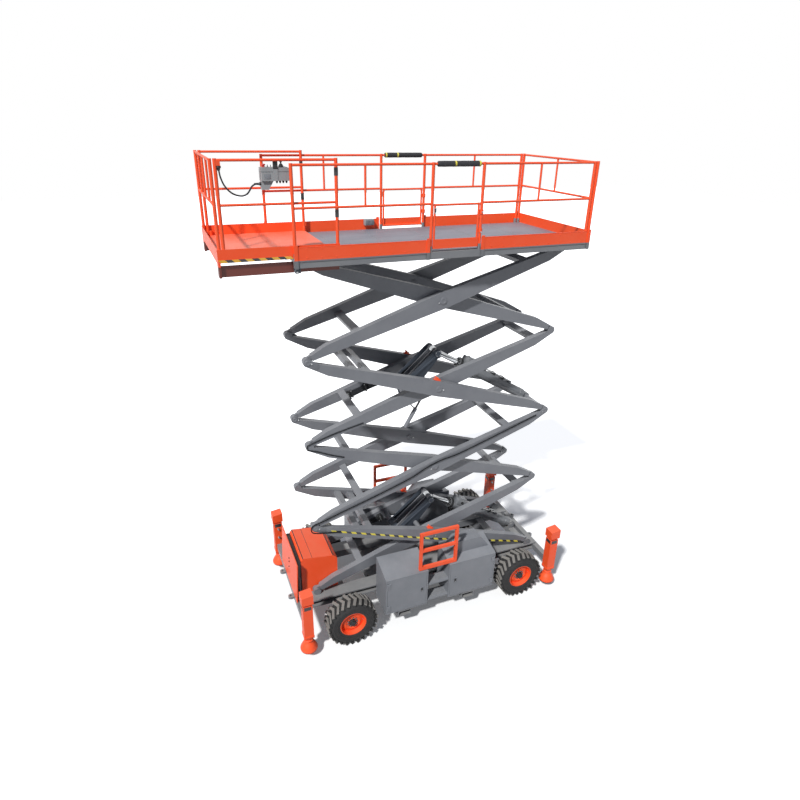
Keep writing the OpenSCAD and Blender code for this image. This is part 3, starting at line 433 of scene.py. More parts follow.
FINISHES: dict[str, Finish] = {
    "orange_paint": ORANGE, "arm_paint": ARM_GREY, "frame_paint": FRAME_GREY, "cabinet_paint": CABINET_GREY,
    "cylinder_paint": BARREL_GREY, "chromed_rod": CHROME, "engine_iron": IRON, "deck_plate": DECK,
    "foam_pad": FOAM, "box_plastic": ABS, "cable_rubber": HOSE, "tyre_rubber": FRONT_TYRE,
}

# Nodes whose finish differs from their slot's
SPECIAL: dict[str, Finish] = {
    "extension_deck": EXTENSION_WITH_PAINTED_SHADE, "toe_boards": TOE_BOARD, "tyre_rear_left": REAR_TYRE, "tyre_rear_right": REAR_TYRE,
}


def shift(x: float, y: float, z: float) -> Matrix:
    """Return the matrix that moves by these distances."""
    return Matrix.Translation((x, y, z))


def sideways(point: Sequence[float], side: int) -> Matrix:
    """Return the matrix that puts local Z out to a side of the machine at a point."""
    return facing(point, (0.0, float(side), 0.0))


def round_spots(place: Matrix, radius: float, count: int, height: float, start: float = 0.0) -> list[Matrix]:
    """Return places spread evenly round the local Z axis.

    Args:
        place: The matrix of the circle's middle.
        radius: The circle's radius.
        count: How many places there are.
        height: How far above the middle they lie.
        start: The share of a step that the first one is turned by.

    Returns:
        The places.
    """
    angles = [2 * math.pi * (i + start) / count for i in range(count)]
    return [place @ shift(radius * math.cos(a), radius * math.sin(a), height) for a in angles]


def hoop(inner: float, outer: float, low: float, high: float) -> Profile:
    """Return the profile of a plain ring."""
    return ((inner, low), (outer, low), (outer, high), (inner, high))


def peg(radius: float, length: float) -> Profile:
    """Return the profile of a plain round peg."""
    return ((0, 0), (radius, 0), (radius, length), (0, length))


def bevel(part: bmesh.types.BMesh, edge: float) -> None:
    """Round every edge of a mesh by a width, or leave it sharp at 0."""
    if edge:
        bmesh.ops.bevel(part, geom=part.edges[:], offset=edge, segments=2, profile=0.5, affect="EDGES")


class Shape:
    """Faces of one piece, gathered in its own place and given a finish each."""

    def __init__(self) -> None:
        """Start with no faces."""
        self.mesh = bmesh.new()
        self.finishes: list[Finish] = []

    def index(self, finish: Finish) -> int:
        """Return the finish's place among the piece's materials, adding it if it is new."""
        if finish not in self.finishes:
            self.finishes.append(finish)
        return self.finishes.index(finish)

    def block(self, low: Sequence[float], high: Sequence[float], finish: Finish, edge: float = 0.003,
              turn: Matrix | None = None) -> None:
        """Add a block with bevelled edges.

        Args:
            low: Its lowest corner.
            high: Its highest corner.
            finish: Its finish.
            edge: The width of the bevel.
            turn: A matrix that places the block.
        """
        corners = [Vector((x, y, z)) for z in (low[2], high[2]) for y in (low[1], high[1]) for x in (low[0], high[0])]
        part = bmesh.new()
        verts = [part.verts.new(c) for c in corners]
        for ring in ((0, 2, 3, 1), (4, 5, 7, 6), (0, 1, 5, 4), (2, 6, 7, 3), (0, 4, 6, 2), (1, 3, 7, 5)):
            part.faces.new([verts[i] for i in ring])
        bevel(part, edge)
        self.take(part, finish, turn)

    def turned(self, profile: Sequence[tuple[float, float]], finish: Finish, place: Matrix,
               sides: int = 32) -> None:
        """Add a turned form round the local Z axis; a profile that starts and ends off the axis makes a ring.

        Args:
            profile: Pairs of radius and height, from one end to the other.
            finish: Its finish.
            place: The matrix that places it.
            sides: How many sides the turning has.
        """
        part = bmesh.new()
        rings = []
        for radius, height in profile:
            if radius < 1e-6:
                rings.append([part.verts.new((0, 0, height))])
                continue
            steps = [2 * math.pi * i / sides for i in range(sides)]
            rings.append([part.verts.new((radius * math.cos(a), radius * math.sin(a), height)) for a in steps])
        for lower, upper in zip(rings, rings[1:]):
            for i in range(sides):
                j = (i + 1) % sides
                loop = [lower[i % len(lower)], lower[j % len(lower)], upper[j % len(upper)], upper[i % len(upper)]]
                loop = list(dict.fromkeys(loop))
                if len(loop) > 2:
                    part.faces.new(loop)
        if len(rings[0]) > 1 and len(rings[-1]) > 1:
            for i in range(sides):
                j = (i + 1) % sides
                part.faces.new([rings[-1][i], rings[-1][j], rings[0][j], rings[0][i]])
        else:
            for ring in (rings[0], rings[-1]):
                if len(ring) > 1:
                    part.faces.new(ring)
        bmesh.ops.recalc_face_normals(part, faces=part.faces[:])
        self.take(part, finish, place)

    def pipe(self, points: Sequence[Vector], radius: float, finish: Finish, sides: int = 10) -> None:
        """Add a round tube along points.

        Args:
            points: The points that its middle follows.
            radius: Its radius.
            finish: Its finish.
            sides: How many sides it has.
        """
        part = bmesh.new()
        rings = []
        across = Vector((0.0, 1.0, 0.0))
        for i, point in enumerate(points):
            ahead = (points[min(i + 1, len(points) - 1)] - points[max(i - 1, 0)]).normalized()
            across = across - across.dot(ahead) * ahead
            if across.length < 1e-4:
                across = ahead.orthogonal()
            across.normalize()
            other = ahead.cross(across)
            steps = [2 * math.pi * k / sides for k in range(sides)]
            ring = [point + radius * (math.cos(a) * across + math.sin(a) * other) for a in steps]
            rings.append([part.verts.new(p) for p in ring])
        for lower, upper in zip(rings, rings[1:]):
            for i in range(sides):
                j = (i + 1) % sides
                part.faces.new([lower[i], lower[j], upper[j], upper[i]])
        part.faces.new(rings[0])
        part.faces.new(rings[-1])
        bmesh.ops.recalc_face_normals(part, faces=part.faces[:])
        self.take(part, finish, None)

    def plate(self, outline: Sequence[tuple[float, float]], thickness: float, finish: Finish, place: Matrix,
              edge: float = 0.002) -> None:
        """Add a flat plate from an outline in its local XY plane, thick along local Z.

        Args:
            outline: The outline's points in order.
            thickness: How far it is drawn out.
            finish: Its finish.
            place: The matrix that places it.
            edge: The width of the bevel.
        """
        part = bmesh.new()
        face = part.faces.new([part.verts.new((x, y, 0.0)) for x, y in outline])
        grown = bmesh.ops.extrude_face_region(part, geom=[face])
        moved = [v for v in grown["geom"] if isinstance(v, bmesh.types.BMVert)]
        bmesh.ops.translate(part, verts=moved, vec=(0.0, 0.0, thickness))
        bmesh.ops.recalc_face_normals(part, faces=part.faces[:])
        bevel(part, edge)
        self.take(part, finish, place)

    def bolt(self, place: Matrix, radius: float, finish: Finish, washer: Finish | None = None) -> None:
        """Add a hexagon bolt head on a washer, standing on the local XY plane.

        Args:
            place: The matrix that places it.
            radius: The radius over its corners.
            finish: The head's finish.
            washer: The washer's finish, or the head's.
        """
        wide, thick = 1.35 * radius, 0.22 * radius
        disc = ((0, 0), (wide, 0), (wide, thick * 0.7), (wide * 0.95, thick), (0, thick))
        self.turned(disc, washer or finish, place, 20)
        top = thick + 0.75 * radius
        self.turned(((0, thick), (radius, thick), (radius, top - 0.12 * radius), (0.86 * radius, top), (0, top)),
                    finish, place, 6)

    def take(self, part: bmesh.types.BMesh, finish: Finish, place: Matrix | None) -> None:
        """Move another mesh into this one with a finish.

        Args:
            part: The mesh, which is freed.
            finish: The finish of its faces.
            place: The matrix that places it, if any.
        """
        if place is not None:
            bmesh.ops.transform(part, matrix=place, verts=part.verts[:])
            if place.determinant() < 0:
                bmesh.ops.reverse_faces(part, faces=part.faces[:])
        number = self.index(finish)
        for face in part.faces:
            face.material_index = number
        held = bpy.data.meshes.new("part")
        part.to_mesh(held)
        part.free()
        self.mesh.from_mesh(held)
        bpy.data.meshes.remove(held)

    def piece(self, name: str, smooth: float = 35.0) -> bpy.types.Object:
        """Make the object, with its materials and smooth shading below an angle.

        Args:
            name: The piece's name.
            smooth: The angle in degrees up to which edges are shaded smooth.

        Returns:
            The new object, which rides on nothing yet.
        """
        data = bpy.data.meshes.new(name)
        self.mesh.to_mesh(data)
        self.mesh.free()
        for finish in self.finishes:
            data.materials.append(finish.material())
        data.shade_smooth()
        data.set_sharp_from_angle(angle=math.radians(smooth))
        made = bpy.data.objects.new(name, data)
        bpy.context.scene.collection.objects.link(made)
        return made


def settle(made: bpy.types.Object, body: str) -> bpy.types.Object:
    """Put a piece on its body and report it.

    Args:
        made: The piece.
        body: The body that it rides on.

    Returns:
        The same piece.
    """
    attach(made, body)
    LOG.info("%s on %s: %d faces", made.name, body, len(made.data.polygons))
    return made


def facing(point: Sequence[float], normal: Sequence[float]) -> Matrix:
    """Return the matrix that puts local Z along a direction at a point.

    Args:
        point: The place of the local origin.
        normal: The direction of local Z.

    Returns:
        The matrix.
    """
    turn = Vector(normal).to_track_quat("Z", "Y").to_matrix().to_4x4()
    return Matrix.Translation(Vector(point)) @ turn


def smooth_path(points: Sequence[Sequence[float]], steps: int = 6) -> list[Vector]:
    """Return a smooth path through points.

    Args:
        points: The points that it passes.
        steps: How many pieces lie between two of them.

    Returns:
        The path's points.
    """
    ends = [Vector(p) for p in points]
    ends = [2 * ends[0] - ends[1], *ends, 2 * ends[-1] - ends[-2]]
    path = []
    for a, b, c, d in zip(ends, ends[1:], ends[2:], ends[3:]):
        for i in range(steps):
            t = i / steps
            path.append(0.5 * (2 * b + (c - a) * t + (2 * a - 5 * b + 4 * c - d) * t * t
                               + (3 * b - a - 3 * c + d) * t ** 3))
    path.append(ends[-2])
    return path


class Rise(Enum):
    """The way an arm rises from its lower pin."""

    FORWARD = 1
    BACKWARD = -1


@dataclass(frozen=True)
class Stack:
    """The scissor's pins and the planes of its arms."""

    rear_x: float = -2.327
    front_x: float = 1.595
    base_z: float = 0.680
    stage: float = 1.34433
    slope: float = math.radians(18.92)
    arm_len: float = 4.146
    arm_half: float = 0.120
    tip_r: float = 0.060
    inner_in: float = 0.420
    inner_out: float = 0.520
    outer_in: float = 0.530
    outer_out: float = 0.630

    def rear(self, level: int) -> Vector:
        """Return the rear pin of a level, in the centre plane."""
        return Vector((self.rear_x, 0.0, self.base_z + level * self.stage))

    def front(self, level: int) -> Vector:
        """Return the front pin of a level, in the centre plane."""
        return Vector((self.front_x, 0.0, self.base_z + level * self.stage))

    def pin(self, number: int, outer: bool) -> tuple[Vector, Rise]:
        """Return an arm's lower pin and the way that the arm rises.

        Args:
            number: The stage, from 1.
            outer: Whether it is an outer arm.

        Returns:
            The pin and the way.
        """
        forward = (number % 2 == 1) == outer
        return (self.rear(number - 1), Rise.FORWARD) if forward else (self.front(number - 1), Rise.BACKWARD)

    def at(self, number: int, outer: bool, along: float, up: float, y: float) -> Vector:
        """Return a point on an arm.

        Args:
            number: The stage, from 1.
            outer: Whether it is an outer arm.
            along: The distance from its lower pin.
            up: The distance above its pin line.
            y: The place across the machine.

        Returns:
            The point.
        """
        pin, way = self.pin(number, outer)
        x = way.value * (along * math.cos(self.slope) - up * math.sin(self.slope))
        z = along * math.sin(self.slope) + up * math.cos(self.slope)
        return pin + Vector((x, y, z))

    def on_face(self, number: int, outer: bool, along: float, up: float, y: float, side: int) -> Matrix:
        """Return the matrix whose local X runs up an arm, Y above it and Z out from its side.

        Args:
            number: The stage, from 1.
            outer: Whether it is an outer arm.
            along: The distance from its lower pin.
            up: The distance above its pin line.
            y: The place across the machine.
            side: The way out, +1 to the left.

        Returns:
            The matrix.
        """
        _, way = self.pin(number, outer)
        run = Vector((way.value * math.cos(self.slope), 0.0, math.sin(self.slope)))
        rise = Vector((-way.value * math.sin(self.slope), 0.0, math.cos(self.slope)))
        out = Vector((0.0, float(side), 0.0))
        turn = Matrix((run, rise, out)).transposed().to_4x4()
        return Matrix.Translation(self.at(number, outer, along, up, y)) @ turn


STACK = Stack()


@dataclass(frozen=True)
class Studio:
    """Floor, light and the camera of the photograph."""

    eye: tuple[float, float, float] = (3.277, 7.895, 7.661)
    yaw: float = -0.3936
    pitch: float = 0.4394
    roll: float = 0.0205
    focal_px: float = 597.75
    image_px: float = 800.0
    sensor_mm: float = 36.0
    floor_half: float = 60.0
    floor_tone: str = "#f2f2f1"
    floor_bounce: str = "#7f7f7f"
    ambient: float = 0.24
    sky: str = "#d6e2fb"
    sun: float = 3.9
    sun_from: tuple[float, float, float] = (0.70, 0.61, 1.0)
    sun_soft: float = math.radians(3.5)
    near_floor: tuple[float, float] = (3.1, 1.7)
    fade: float = 1.8
    floor_glow: tuple[float, float] = (0.10, 0.80)

    def camera(self) -> None:
        """Set up the camera at the photograph's place and angle."""
        ahead = Vector((math.sin(self.yaw) * math.cos(self.pitch), -math.cos(self.yaw) * math.cos(self.pitch),
                        -math.sin(self.pitch)))
        across = ahead.cross(Vector((0.0, 0.0, 1.0))).normalized()
        up = across.cross(ahead)
        c, s = math.cos(self.roll), math.sin(self.roll)
        right, top = c * across + s * up, c * up - s * across
        lens = bpy.data.cameras.new("photo_camera")
        lens.sensor_width = self.sensor_mm
        lens.lens = self.sensor_mm * self.focal_px / self.image_px
        view = bpy.data.objects.new("photo_camera", lens)
        turn = Matrix((right, top, -ahead)).transposed().to_4x4()
        view.matrix_world = Matrix.Translation(Vector(self.eye)) @ turn
        bpy.context.scene.collection.objects.link(view)
        bpy.context.scene.camera = view

    def seen(self, tree: bpy.types.NodeTree) -> bpy.types.NodeSocket:
        """Return a socket that is 1 for rays that show the background, straight or by reflection.

        Args:
            tree: The node tree.

        Returns:
            The socket.
        """
        path = add_node(tree, "ShaderNodeLightPath")
        glossy = add_node(tree, "ShaderNodeMath", {"operation": "MAXIMUM"}, links={
            0: path.outputs["Is Camera Ray"], 1: path.outputs["Is Glossy Ray"]})
        return add_node(tree, "ShaderNodeMath", {"operation": "MAXIMUM"}, links={
            0: glossy.outputs["Value"], 1: path.outputs["Is Transmission Ray"]}).outputs["Value"]

    def light(self) -> None:
        """Set up an even white world and one soft sun."""
        scene = bpy.context.scene
        scene.view_settings.view_transform = "Standard"
        world = bpy.data.worlds.new("white_studio")
        world.use_nodes = True
        scene.world = world
        tree = world.node_tree
        strength = add_node(tree, "ShaderNodeMapRange", values={"To Min": self.ambient, "To Max": 1.0},
                            links={"Value": self.seen(tree)})
        cool = add_node(tree, "ShaderNodeMix", {"data_type": "RGBA"}, {6: srgb(self.sky), 7: srgb("#ffffff")},
                        {0: self.seen(tree)})
        backdrop = tree.nodes["Background"]
        tree.links.new(cool.outputs[2], backdrop.inputs["Color"])
        tree.links.new(strength.outputs["Result"], backdrop.inputs["Strength"])
        lamp = bpy.data.lights.new("soft_sun", "SUN")
        lamp.energy, lamp.angle = self.sun, self.sun_soft
        shone = bpy.data.objects.new("soft_sun", lamp)
        shone.matrix_world = facing((0.0, 0.0, 12.0), self.sun_from)
        scene.collection.objects.link(shone)

    def floor(self) -> None:
        """Lay a pale floor that keeps the shadow round the machine and fades to white away from it."""
        shape = bmesh.new()
        bmesh.ops.create_grid(shape, x_segments=1, y_segments=1, size=self.floor_half)
        data = bpy.data.meshes.new("studio_floor")
        shape.to_mesh(data)
        shape.free()
        pale = bpy.data.materials.new("pale_floor")
        pale.use_nodes = True
        tree = pale.node_tree
        matt = tree.nodes["Principled BSDF"]
        matt.inputs["Base Color"].default_value = srgb(self.floor_tone)
        matt.inputs["Roughness"].default_value = 0.9
        matt.inputs["Specular IOR Level"].default_value = 0.0
        where = add_node(tree, "ShaderNodeTexCoord").outputs["Object"]
        wide, deep = self.near_floor
        nearby = add_node(tree, "ShaderNodeMapping", values={"Scale": (1 / wide, 1 / deep, 1.0)},
                          links={"Vector": where})
        away = add_node(tree, "ShaderNodeVectorMath", {"operation": "LENGTH"}, links={0: nearby.outputs["Vector"]})
        near, far = self.floor_glow
        glow = add_node(tree, "ShaderNodeMapRange", {"interpolation_type": "SMOOTHSTEP"}, {
            "From Min": 1.0, "From Max": self.fade, "To Min": near, "To Max": far}, {"Value": away.outputs["Value"]})
        shown = add_node(tree, "ShaderNodeEmission", values={"Color": srgb("#ffffff")},
                         links={"Strength": glow.outputs["Result"]})
        lifted = add_node(tree, "ShaderNodeAddShader", links={0: matt.outputs["BSDF"], 1: shown.outputs["Emission"]})
        bounce = add_node(tree, "ShaderNodeBsdfDiffuse", values={"Color": srgb(self.floor_bounce)})
        mixed = add_node(tree, "ShaderNodeMixShader", links={
            0: self.seen(tree), 1: bounce.outputs["BSDF"], 2: lifted.outputs["Shader"]})
        tree.links.new(mixed.outputs["Shader"], tree.nodes["Material Output"].inputs["Surface"])
        data.materials.append(pale)
        floor = bpy.data.objects.new("studio_floor", data)
        bpy.context.scene.collection.objects.link(floor)


@dataclass(frozen=True)
class ControlCable:
    """The free cable from the control box's gland to the socket under the extension's corner."""

    route: tuple[tuple[float, float, float], ...] = (
        (2.0725, 0.751, 6.975), (2.092, 0.751, 6.975), (2.120, 0.753, 6.970), (2.144, 0.757, 6.957),
        (2.163, 0.760, 6.936), (2.187, 0.7645, 6.900), (2.209, 0.769, 6.876), (2.238, 0.775, 6.860),
        (2.271, 0.783, 6.8545), (2.311, 0.793, 6.859), (2.350, 0.804, 6.872), (2.3865, 0.8155, 6.893),
        (2.4195, 0.826, 6.922), (2.448, 0.835, 6.957), (2.471, 0.8425, 6.998), (2.494, 0.849, 7.068),
        (2.502, 0.852, 7.142), (2.502, 0.852, 7.175))
    radius: float = 0.009
    relief_len: float = 0.05
    relief_swell: float = 0.0045
    relief_taper: float = 0.004
    rib_depth: float = 0.0012
    ribs: int = 10
    plug: Profile = ((0.0045, 0.0), (0.024, 0.0), (0.026, 0.004), (0.026, 0.022), (0.0175, 0.026), (0.0165, 0.040),
                     (0.011, 0.052), (0.0045, 0.054))

    def build(self) -> None:
        """Make the cable, the tapered strain relief at the box and the plug at the socket."""
        path = smooth_path(self.route, 4)
        shape = Shape()
        shape.pipe(path, self.radius, HOSE, 14)
        cable = shape.piece("control_cable_cord", 60)
        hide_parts("control_cable")
        relief = Shape()
        start = facing(path[0], path[1] - path[0])
        r, n = self.radius, self.relief_len
        ribs = []
        for i in range(self.ribs):
            t = i / (self.ribs - 1)
            groove = self.rib_depth if i % 2 else 0
            ribs.append((r + self.relief_swell - self.relief_taper * t - groove, 0.001 + n * t))
        relief.turned([(r * 0.5, 0.0005), *ribs, (r * 0.5, n + 0.002)], HOSE, start, 20)
        boot = settle(relief.piece("cable_strain_relief"), "extension")
        plug = Shape()
        end = facing(path[-1], path[-2] - path[-1])
        plug.turned(self.plug, IRON, end, 20)
        knob = settle(plug.piece("cable_plug"), "extension")
        settle(cable, "extension")


@dataclass(frozen=True)
class GatePads:
    """Foam sleeves round the bars over the gates, each with two bright bands and two black ties."""

    radius: float = 0.0345
    bore: float = 0.0155
    end_round: float = 0.012
    band_len: float = 0.022
    stations: int = 40
    left_bands: tuple[float, float] = (0.04, 0.60)
    right_bands: tuple[float, float] = (0.96, 0.66)
    ties: tuple[float, float] = (0.30, 0.85)
    tie_half: float = 0.003
    band_t: float = 0.003
    band_proud: float = 0.0004
    sag: float = 0.0012

    def sleeve(self, side: int) -> None:
        """Make one sleeve, slightly uneven along its length.

        Args:
            side: The machine's side, +1 for the left.
        """
        low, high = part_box("rail_pads")
        length = high.x - low.x
        y = side * (high.y - self.radius - 0.0005)
        z = (low.z + high.z) / 2
        shape = Shape()
        place = facing((low.x, y, z), (1.0, 0.0, 0.0))
        spots = [i / self.stations for i in range(self.stations + 1)]
        outer = []
        for t in spots:
            end = min(t, 1 - t) * length
            beyond = max(0.0, self.end_round - end)
            round_off = self.end_round - math.sqrt(max(0.0, self.end_round ** 2 - beyond ** 2))
            outer.append((self.radius - round_off - self.sag * (1 + math.sin(9 * math.pi * t)) / 2, t * length))
        shape.turned([(self.bore, 0.0), *outer, (self.bore, length)], FOAM, place, 36)
        bright = self.left_bands if side == LEFT else self.right_bands
        r = self.radius + self.band_proud
        for shares, half, finish in ((bright, self.band_len / 2, YELLOW), (self.ties, self.tie_half, BLACK)):
            for share in shares:
                middle = share * length
                shape.turned(hoop(r - self.band_t, r, middle - half, middle + half), finish, place, 36)
        pad = shape.piece("gate_pad_left" if side == LEFT else "gate_pad_right", 50)
        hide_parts("rail_pads")
        settle(pad, "platform")

    def build(self) -> None:
        """Make both sleeves."""
        for side in SIDES:
            self.sleeve(side)


@dataclass(frozen=True)
class WheelTrim:
    """What shows on a wheel: hub, nuts, valve, the ribs of the tyre's wall and the lugs between its main lugs."""

    centre_z: float = 0.415
    wheel_y: float = 1.015
    face_in: float = 0.070
    nut_circle: float = 0.074
    nut_r: float = 0.0125
    nuts: int = 9
    hub: Profile = ((0, -0.004), (0.056, -0.004), (0.056, 0.022), (0.050, 0.030), (0.044, 0.032), (0.044, 0.048),
                    (0.038, 0.054), (0.018, 0.056), (0.014, 0.053), (0, 0.053))
    stud: Profile = ((0, 0.010), (0.006, 0.010), (0.006, 0.019), (0.004, 0.021), (0, 0.021))
    valve: Profile = ((0, 0), (0.005, 0), (0.005, 0.02), (0.0065, 0.021), (0.0065, 0.032), (0, 0.032))
    valve_at: tuple[float, float, float] = (0.178, 0.0, 0.045)
    wall_ribs: tuple[float, float, float] = (0.262, 0.300, 0.322)
    rib: Profile = ((-0.007, 0.1435), (-0.004, 0.1475), (0, 0.149), (0.004, 0.1475), (0.007, 0.1435))
    lugs: int = 13
    lug_size: tuple[float, float] = (0.046, 0.138)
    lug_r: tuple[float, float] = (0.372, 0.4045)
    lug_in: float = 0.012
    lug_back: float = 0.015
    lug_edge: float = 0.005
    lug_shift: float = 0.0336
    lug_skew: float = math.radians(24.0)

    def build(self) -> None:
        """Make the trim of all four wheels."""
        for end in ("front", "rear"):
            for side, word in NAMED_SIDES:
                self.wheel(f"{end}_{word}", side)

    def wheel(self, name: str, side: int) -> None:
        """Make one wheel's hub, nuts, valve, wall ribs and lugs.

        Args:
            name: The wheel's place, as in its body's name.
            side: The machine's side, +1 for the left.
        """
        low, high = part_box(f"tyre_{name}")
        x = (low.x + high.x) / 2
        place = sideways((x, side * self.wheel_y, self.centre_z), side)
        hub = Shape()
        hub.turned([(r, self.face_in + h) for r, h in self.hub], IRON, place, 36)
        for spot in round_spots(place, self.nut_circle, self.nuts, self.face_in - 0.0005):
            hub.bolt(spot, self.nut_r, ZINC, IRON)
            hub.turned(self.stud, IRON, spot, 10)
        hub.turned(self.valve, ZINC, place @ Matrix.Translation(self.valve_at), 12)
        settle(hub.piece(f"hub_{name}"), f"wheel_{name}")
        ribs = Shape()
        rubber = FRONT_TYRE if name.startswith("front") else REAR_TYRE
        for r in self.wall_ribs:
            ribs.turned([(r + out, h) for out, h in self.rib], rubber, place, 72)
        axle = shift(x, side * self.wheel_y, self.centre_z)
        wide, long = self.lug_size
        low_r, top_r = self.lug_r
        start = self.lug_in + self.lug_back
        skew = shift(-self.lug_shift, -self.lug_back, 0.0) @ Matrix.Rotation(-self.lug_skew, 4, "Z")
        for half in SIDES:
            flip = Matrix.Diagonal((1.0, float(side * half), 1.0, 1.0))
            for n in range(self.lugs):
                turn = Matrix.Rotation(2 * math.pi * (n + 0.25 * half) / self.lugs, 4, "Y")
                ribs.block((-wide / 2, start, low_r), (wide / 2, start + long, top_r), rubber, self.lug_edge,
                           axle @ turn @ flip @ skew)
        settle(ribs.piece(f"tyre_wall_{name}", 60), f"wheel_{name}")


@dataclass(frozen=True)
class ArmTrim:
    """Pins, tip plates, markings and latches of the scissor arms."""

    pin_r: float = 0.040
    cross_r: float = 0.055
    proud: float = 0.009
    tip_len: float = 0.150
    tip_t: float = 0.004
    stripe_w: float = 0.032
    stripe_step: float = 0.170
    stripe_t: float = 0.0016
    stripe_bends: Profile = ((0.14, -0.002), (2.073, -0.058), (3.96, -0.030))
    latch: Profile = ((-0.045, 0.010), (0.030, 0.010), (0.050, 0.052), (0.015, 0.052), (-0.020, 0.030),
                      (-0.045, 0.030))
    latch_pin: Profile = ((0, 0), (0.011, 0), (0.011, 0.045), (0.008, 0.05), (0, 0.05))

    def pin_head(self, shape: Shape, place: Matrix, radius: float) -> None:
        """Add a turned pin head with its keeper and bolt.

        Args:
            shape: The piece that takes it.
            place: The matrix at the arm's face.
            radius: The head's radius.
        """
        p = self.proud
        shape.turned([(0, 0), (radius, 0), (radius, p * 0.6), (radius * 0.9, p), (radius * 0.45, p),
                      (radius * 0.4, p * 0.7), (0, p * 0.7)], ARM_GREY, place, 36)
        keeper = place @ shift(-radius * 1.2, 0.0, 0.0)
        shape.block((-0.020, -0.013, 0.0), (0.022, 0.013, 0.006), ARM_GREY, 0.002, keeper)
        shape.bolt(keeper @ shift(-0.008, 0.0, 0.006), 0.0085, ZINC)

    def tip_plate(self, shape: Shape, number: int, side: int) -> None:
        """Add the doubling plate at the upper tip of an outer arm.

        Args:
            shape: The piece that takes it.
            number: The stage, from 1.
            side: The machine's side, +1 for the left.
        """
        r = STACK.tip_r - 0.004
        round_tip = [(r * math.cos(a), r * math.sin(a)) for a in [math.radians(d) for d in range(-90, 91, 15)]]
        outline = [(-self.tip_len, -0.082), *round_tip, (-self.tip_len, 0.020), (-self.tip_len - 0.03, -0.03)]
        place = STACK.on_face(number, True, STACK.arm_len, 0.0, side * STACK.outer_out, side)
        shape.plate(outline, self.tip_t, ARM_GREY, place, 0.0015)

    def outer_arm(self, number: int) -> None:
        """Make the pins and tip plates of one pair of outer arms.

        Args:
            number: The stage, from 1.
        """
        shape = Shape()
        for side in SIDES:
            self.tip_plate(shape, number, side)
            face = side * (STACK.outer_out + self.tip_t - 0.0005)
            self.pin_head(shape, STACK.on_face(number, True, STACK.arm_len, 0.0, face, side), self.pin_r)
            middle = STACK.on_face(number, True, STACK.arm_len / 2, 0.0, side * STACK.outer_out, side)
            self.pin_head(shape, middle, self.cross_r)
        settle(shape.piece(f"outer_pins_{number}"), f"outer_{number}")

    def inner_arm(self, number: int) -> None:
        """Make the pins of one pair of inner arms, seen from between them.

        Args:
            number: The stage, from 1.
        """
        shape = Shape()
        for side in SIDES:
            for along, radius in ((STACK.arm_len, self.pin_r), (STACK.arm_len / 2, self.cross_r)):
                place = STACK.on_face(number, False, along, 0.0, side * STACK.inner_in, -side)
                self.pin_head(shape, place, radius)
        settle(shape.piece(f"inner_pins_{number}"), f"inner_{number}")

    def stripes(self) -> None:
        """Paint slanted yellow and black bars along the lower edge of the first outer arms."""
        shape = Shape()
        bends = self.stripe_bends

        def middle(along: float) -> float:
            """Return the stripe's middle above the pin line at a place along the arm."""
            for (a, u), (b, v) in zip(bends, bends[1:]):
                if along <= b:
                    return u + (v - u) * (along - a) / (b - a)
            return bends[-1][1]

        for side in SIDES:
            along, number = bends[0][0], 0
            while along < bends[-1][0] - self.stripe_step / 2:
                wide = min(self.stripe_w, 0.026 + 0.02 * along) / 2
                end, lean = along + self.stripe_step / 2, wide
                outline = [(along - lean, middle(along) - wide), (end - lean, middle(end) - wide),
                           (end + lean, middle(end) + wide), (along + lean, middle(along) + wide)]
                place = STACK.on_face(1, True, 0.0, 0.0, side * STACK.outer_out, side)
                shape.plate(outline, self.stripe_t, YELLOW if number % 2 else BLACK, place, 0.0)
                along, number = end, number + 1
        settle(shape.piece("arm_marking_stripes"), "outer_1")

    def latches(self) -> None:
        """Make the orange prop latches on the upper edges over two crossings."""
        for number in (1, 3):
            shape = Shape()
            for side in SIDES:
                y = side * (STACK.outer_in + STACK.outer_out) / 2
                place = STACK.on_face(number, True, STACK.arm_len / 2 + 0.06, STACK.arm_half - 0.003, y, side)
                shape.block((-0.055, 0.0, -0.030), (0.055, 0.012, 0.030), ORANGE, 0.002, place)
                shape.plate(self.latch, 0.012, ORANGE, place @ shift(0.0, 0.0, 0.010), 0.002)
                shape.turned(self.latch_pin, ORANGE, place @ shift(0.030, 0.036, -0.030), 16)
            settle(shape.piece(f"prop_latches_{number}"), f"outer_{number}")

    def build(self) -> None:
        """Make the trim of every arm."""
        for number in (1, 2, 3, 4):
            self.outer_arm(number)
            self.inner_arm(number)
        self.stripes()
        self.latches()


